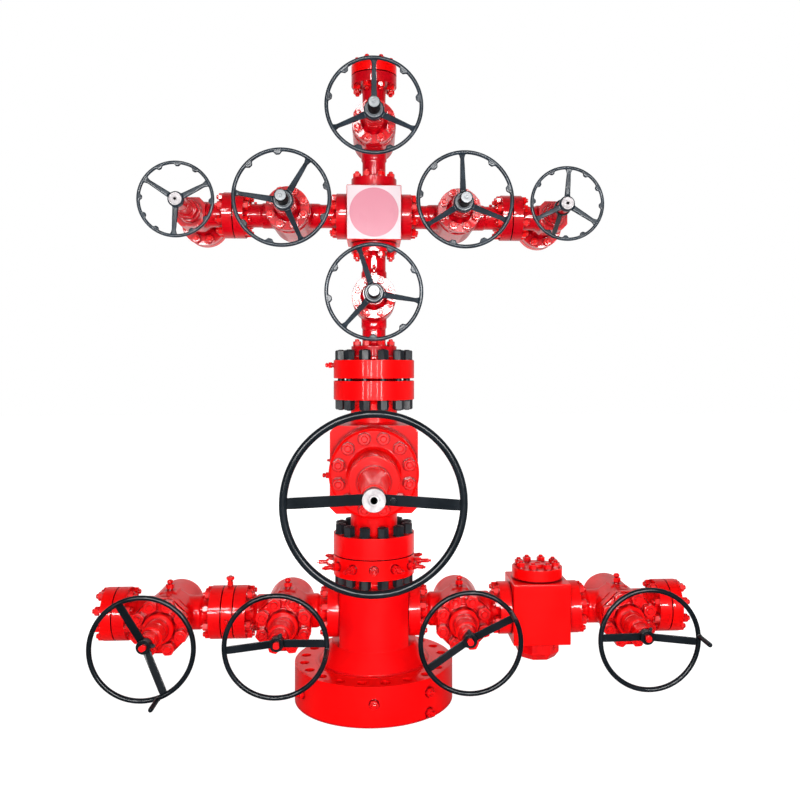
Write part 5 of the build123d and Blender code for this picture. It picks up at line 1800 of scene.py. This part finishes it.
@dataclass
class Studio:
    """The camera at the photograph's angle, the lamps, the white world and the floor."""

    focal: float = 37.62
    yaw: float = 3.3
    place: tuple[float, float, float] = (0.0, -5.0083, 1.950)
    shift: tuple[float, float] = (-0.02775, -0.03875)
    window_plane: float = -12.0

    def camera(self) -> None:
        """Stand the camera up."""
        data = bpy.data.cameras.new("camera")
        data.lens, data.sensor_width = self.focal, 36.0
        data.shift_x, data.shift_y = self.shift
        item = bpy.data.objects.new("camera", data)
        item.location = self.place
        item.rotation_euler = (radians(90), 0, radians(-self.yaw))
        bpy.context.scene.collection.objects.link(item)
        bpy.context.scene.camera = item

    def lamp(
        self, name: str, place: tuple[float, float, float], target: tuple[float, float, float],
        size: tuple[float, float], radiance: float, glossy: bool = True, diffuse: bool = True,
    ) -> None:
        """Hang a soft box.

        Args:
            name: Its name.
            place: Its middle.
            target: Where it points.
            size: Its width and height.
            radiance: How bright its face is.
            glossy: Whether it shows in gloss.
            diffuse: Whether it lights matte surfaces.
        """
        data = bpy.data.lights.new(name, "AREA")
        data.shape, data.size, data.size_y = "RECTANGLE", size[0], size[1]
        data.energy = radiance * size[0] * size[1] * pi
        item = bpy.data.objects.new(name, data)
        item.location = place
        aim = Vector(target) - Vector(place)
        item.rotation_euler = aim.to_track_quat("-Z", "Y").to_euler()
        item.visible_camera, item.visible_glossy, item.visible_diffuse = False, glossy, diffuse
        bpy.context.scene.collection.objects.link(item)

    def world(self) -> None:
        """Make the world white to the camera, white behind the stack in gloss and faint as a light."""
        world = bpy.data.worlds.new("studio")
        world.use_nodes = True
        world.node_tree.nodes.clear()
        desk = NodeDesk(world.node_tree)
        ray = desk.add("ShaderNodeLightPath")
        direction = desk.add("ShaderNodeTexCoord").outputs["Generated"]
        parts = desk.add("ShaderNodeSeparateXYZ", {0: direction})
        behind = desk.span(parts.outputs[1], 0.15, 0.85, 0.0, 1.0)
        above = desk.span(parts.outputs[2], 0.0, 0.35, 0.4, 1.0)
        backdrop = desk.math("MULTIPLY", desk.math("MULTIPLY", behind, above), 0.985)
        seen_in_gloss = desk.math("ADD", backdrop, 0.015)
        lit = desk.span(ray.outputs["Is Glossy Ray"], 0.0, 1.0, 0.10, seen_in_gloss)
        strength = desk.math("MAXIMUM", lit, ray.outputs["Is Camera Ray"])
        strength = desk.math("MAXIMUM", strength, ray.outputs["Is Transmission Ray"])
        back = desk.add("ShaderNodeBackground", {"Color": (1, 1, 1, 1), "Strength": strength})
        desk.add("ShaderNodeOutputWorld", {"Surface": back.outputs[0]})
        bpy.context.scene.world = world

    def floor(self) -> None:
        """Lay the pale floor, which keeps the stack's shadow."""
        bpy.ops.object.select_all(action="DESELECT")
        bpy.ops.mesh.primitive_plane_add(size=60, location=(0, 0, 0))
        item = bpy.context.active_object
        item.name = "studio_floor"
        item.data.transform(Matrix.Translation((0, 0, -0.001)))
        material = bpy.data.materials.new("studio_floor")
        material.use_nodes = True
        material.node_tree.nodes.clear()
        desk = NodeDesk(material.node_tree)
        ray = desk.add("ShaderNodeLightPath")
        pale = desk.add("ShaderNodeBsdfDiffuse", {"Color": (0.6, 0.6, 0.6, 1)})
        spot = desk.add("ShaderNodeTexCoord").outputs["Object"]
        distance = desk.add("ShaderNodeVectorMath", {0: spot}, operation="LENGTH").outputs["Value"]
        plain = desk.span(distance, 1.5, 3.0, 1.55, 1.75)
        behind = desk.add("ShaderNodeSeparateXYZ", {0: spot}).outputs[1]
        in_gloss = desk.span(behind, -0.5, 2.5, 0.03, 1.0)
        glow = desk.span(ray.outputs["Is Glossy Ray"], 0.0, 1.0, plain, in_gloss)
        white = desk.add("ShaderNodeEmission", {"Color": (1, 1, 1, 1), "Strength": glow})
        seen = desk.math("MAXIMUM", ray.outputs["Is Camera Ray"], ray.outputs["Is Transmission Ray"])
        share = desk.math("MAXIMUM", desk.math("MULTIPLY", seen, 0.6), ray.outputs["Is Glossy Ray"])
        mix = desk.add("ShaderNodeMixShader", {0: share, 1: pale.outputs[0], 2: white.outputs[0]})
        desk.add("ShaderNodeOutputMaterial", {"Surface": mix.outputs[0]})
        item.data.materials.append(material)

    def build(self) -> None:
        """Set the studio up."""
        self.camera()
        self.world()
        self.floor()
        self.lamp("fill", (0.2, -6.4, 1.7), (0, 0, 1.5), (4.4, 2.6), 14.5, glossy=False)
        for name, place, size, radiance in (
            ("back_fill", (-0.4, 7.5, 2.2), (6.0, 4.0), 4.6), ("left_fill", (-7.5, 0.5, 2.2), (4.0, 4.0), 3.6),
            ("right_fill", (7.5, 0.5, 2.2), (4.0, 4.0), 3.6), ("top_fill", (0, 0.6, 7.6), (5.0, 5.0), 1.7),
        ):
            self.lamp(name, place, (0, 0, 1.9), size, radiance, glossy=False)
        windows = [("high_strip", 0.0, 3.5, 12.0, 1.7, 72.0), ("key_box", 1.0, 5.05, 3.8, 1.5, 9.0)]
        for index, (x, width) in enumerate(((-3.4, 0.9), (-0.5, 0.5), (2.4, 0.9))):
            windows.append((f"upper_window_{index}", x, 7.0, width, 2.2, 48.0))
        for index, (x, width) in enumerate(((-7.0, 0.7), (-3.6, 0.35), (-1.6, 0.5), (1.9, 0.35), (4.6, 0.8))):
            windows.append((f"lower_window_{index}", x, 1.4, width, 2.0, 32.0))
        for name, x, z, width, height, radiance in windows:
            place = (x, self.window_plane, z)
            self.lamp(name, place, (x, 0, z), (width, height), radiance, diffuse=False)
        bpy.context.scene.view_settings.view_transform = "Standard"


def main() -> None:
    """Build the studio and every sub-assembly, and note the sizes."""
    logging.basicConfig(level=logging.INFO, format="%(message)s")
    Studio().build()
    shop = Shop(
        [RED_ENAMEL, RED_CASTING, RED_CRIMSON, RED_WRINKLED, RED_HARDWARE, RED_MILLED_REFLECTION, BLACK_ENAMEL,
         BLACK_STUDS, BLACK_SLEEVE, SLATE_CASTING, HUB_RING, END_DISC, BRIGHT_STEEL, PALE_PAINT]
    )
    upright = Matrix.Rotation(radians(-90), 4, "Y")
    upper_places = {name: Matrix.Translation((0, 0, z)) @ upright for name, z in UPRIGHT_VALVES.items()}
    wing_places = {name: Matrix.Translation((x, 0, WING_HEIGHT)) for name, x in WING_VALVES.items()}
    lower_places = {name: Matrix.Translation((x, 0, ARM_HEIGHT)) for name, x in ARM_VALVES.items()}
    for assembly in (
        TubingHead(), MasterValve(), TreeTop(), UpperValves(upper_places), UpperValves(wing_places, 0.330),
        Chokes(), LowerValves(lower_places), ArmParts(), Fittings(), HandWheels(),
    ):
        assembly.build(shop)
    LOG.info("%d pieces in all", shop.count)


if __name__ == "__main__":
    main()
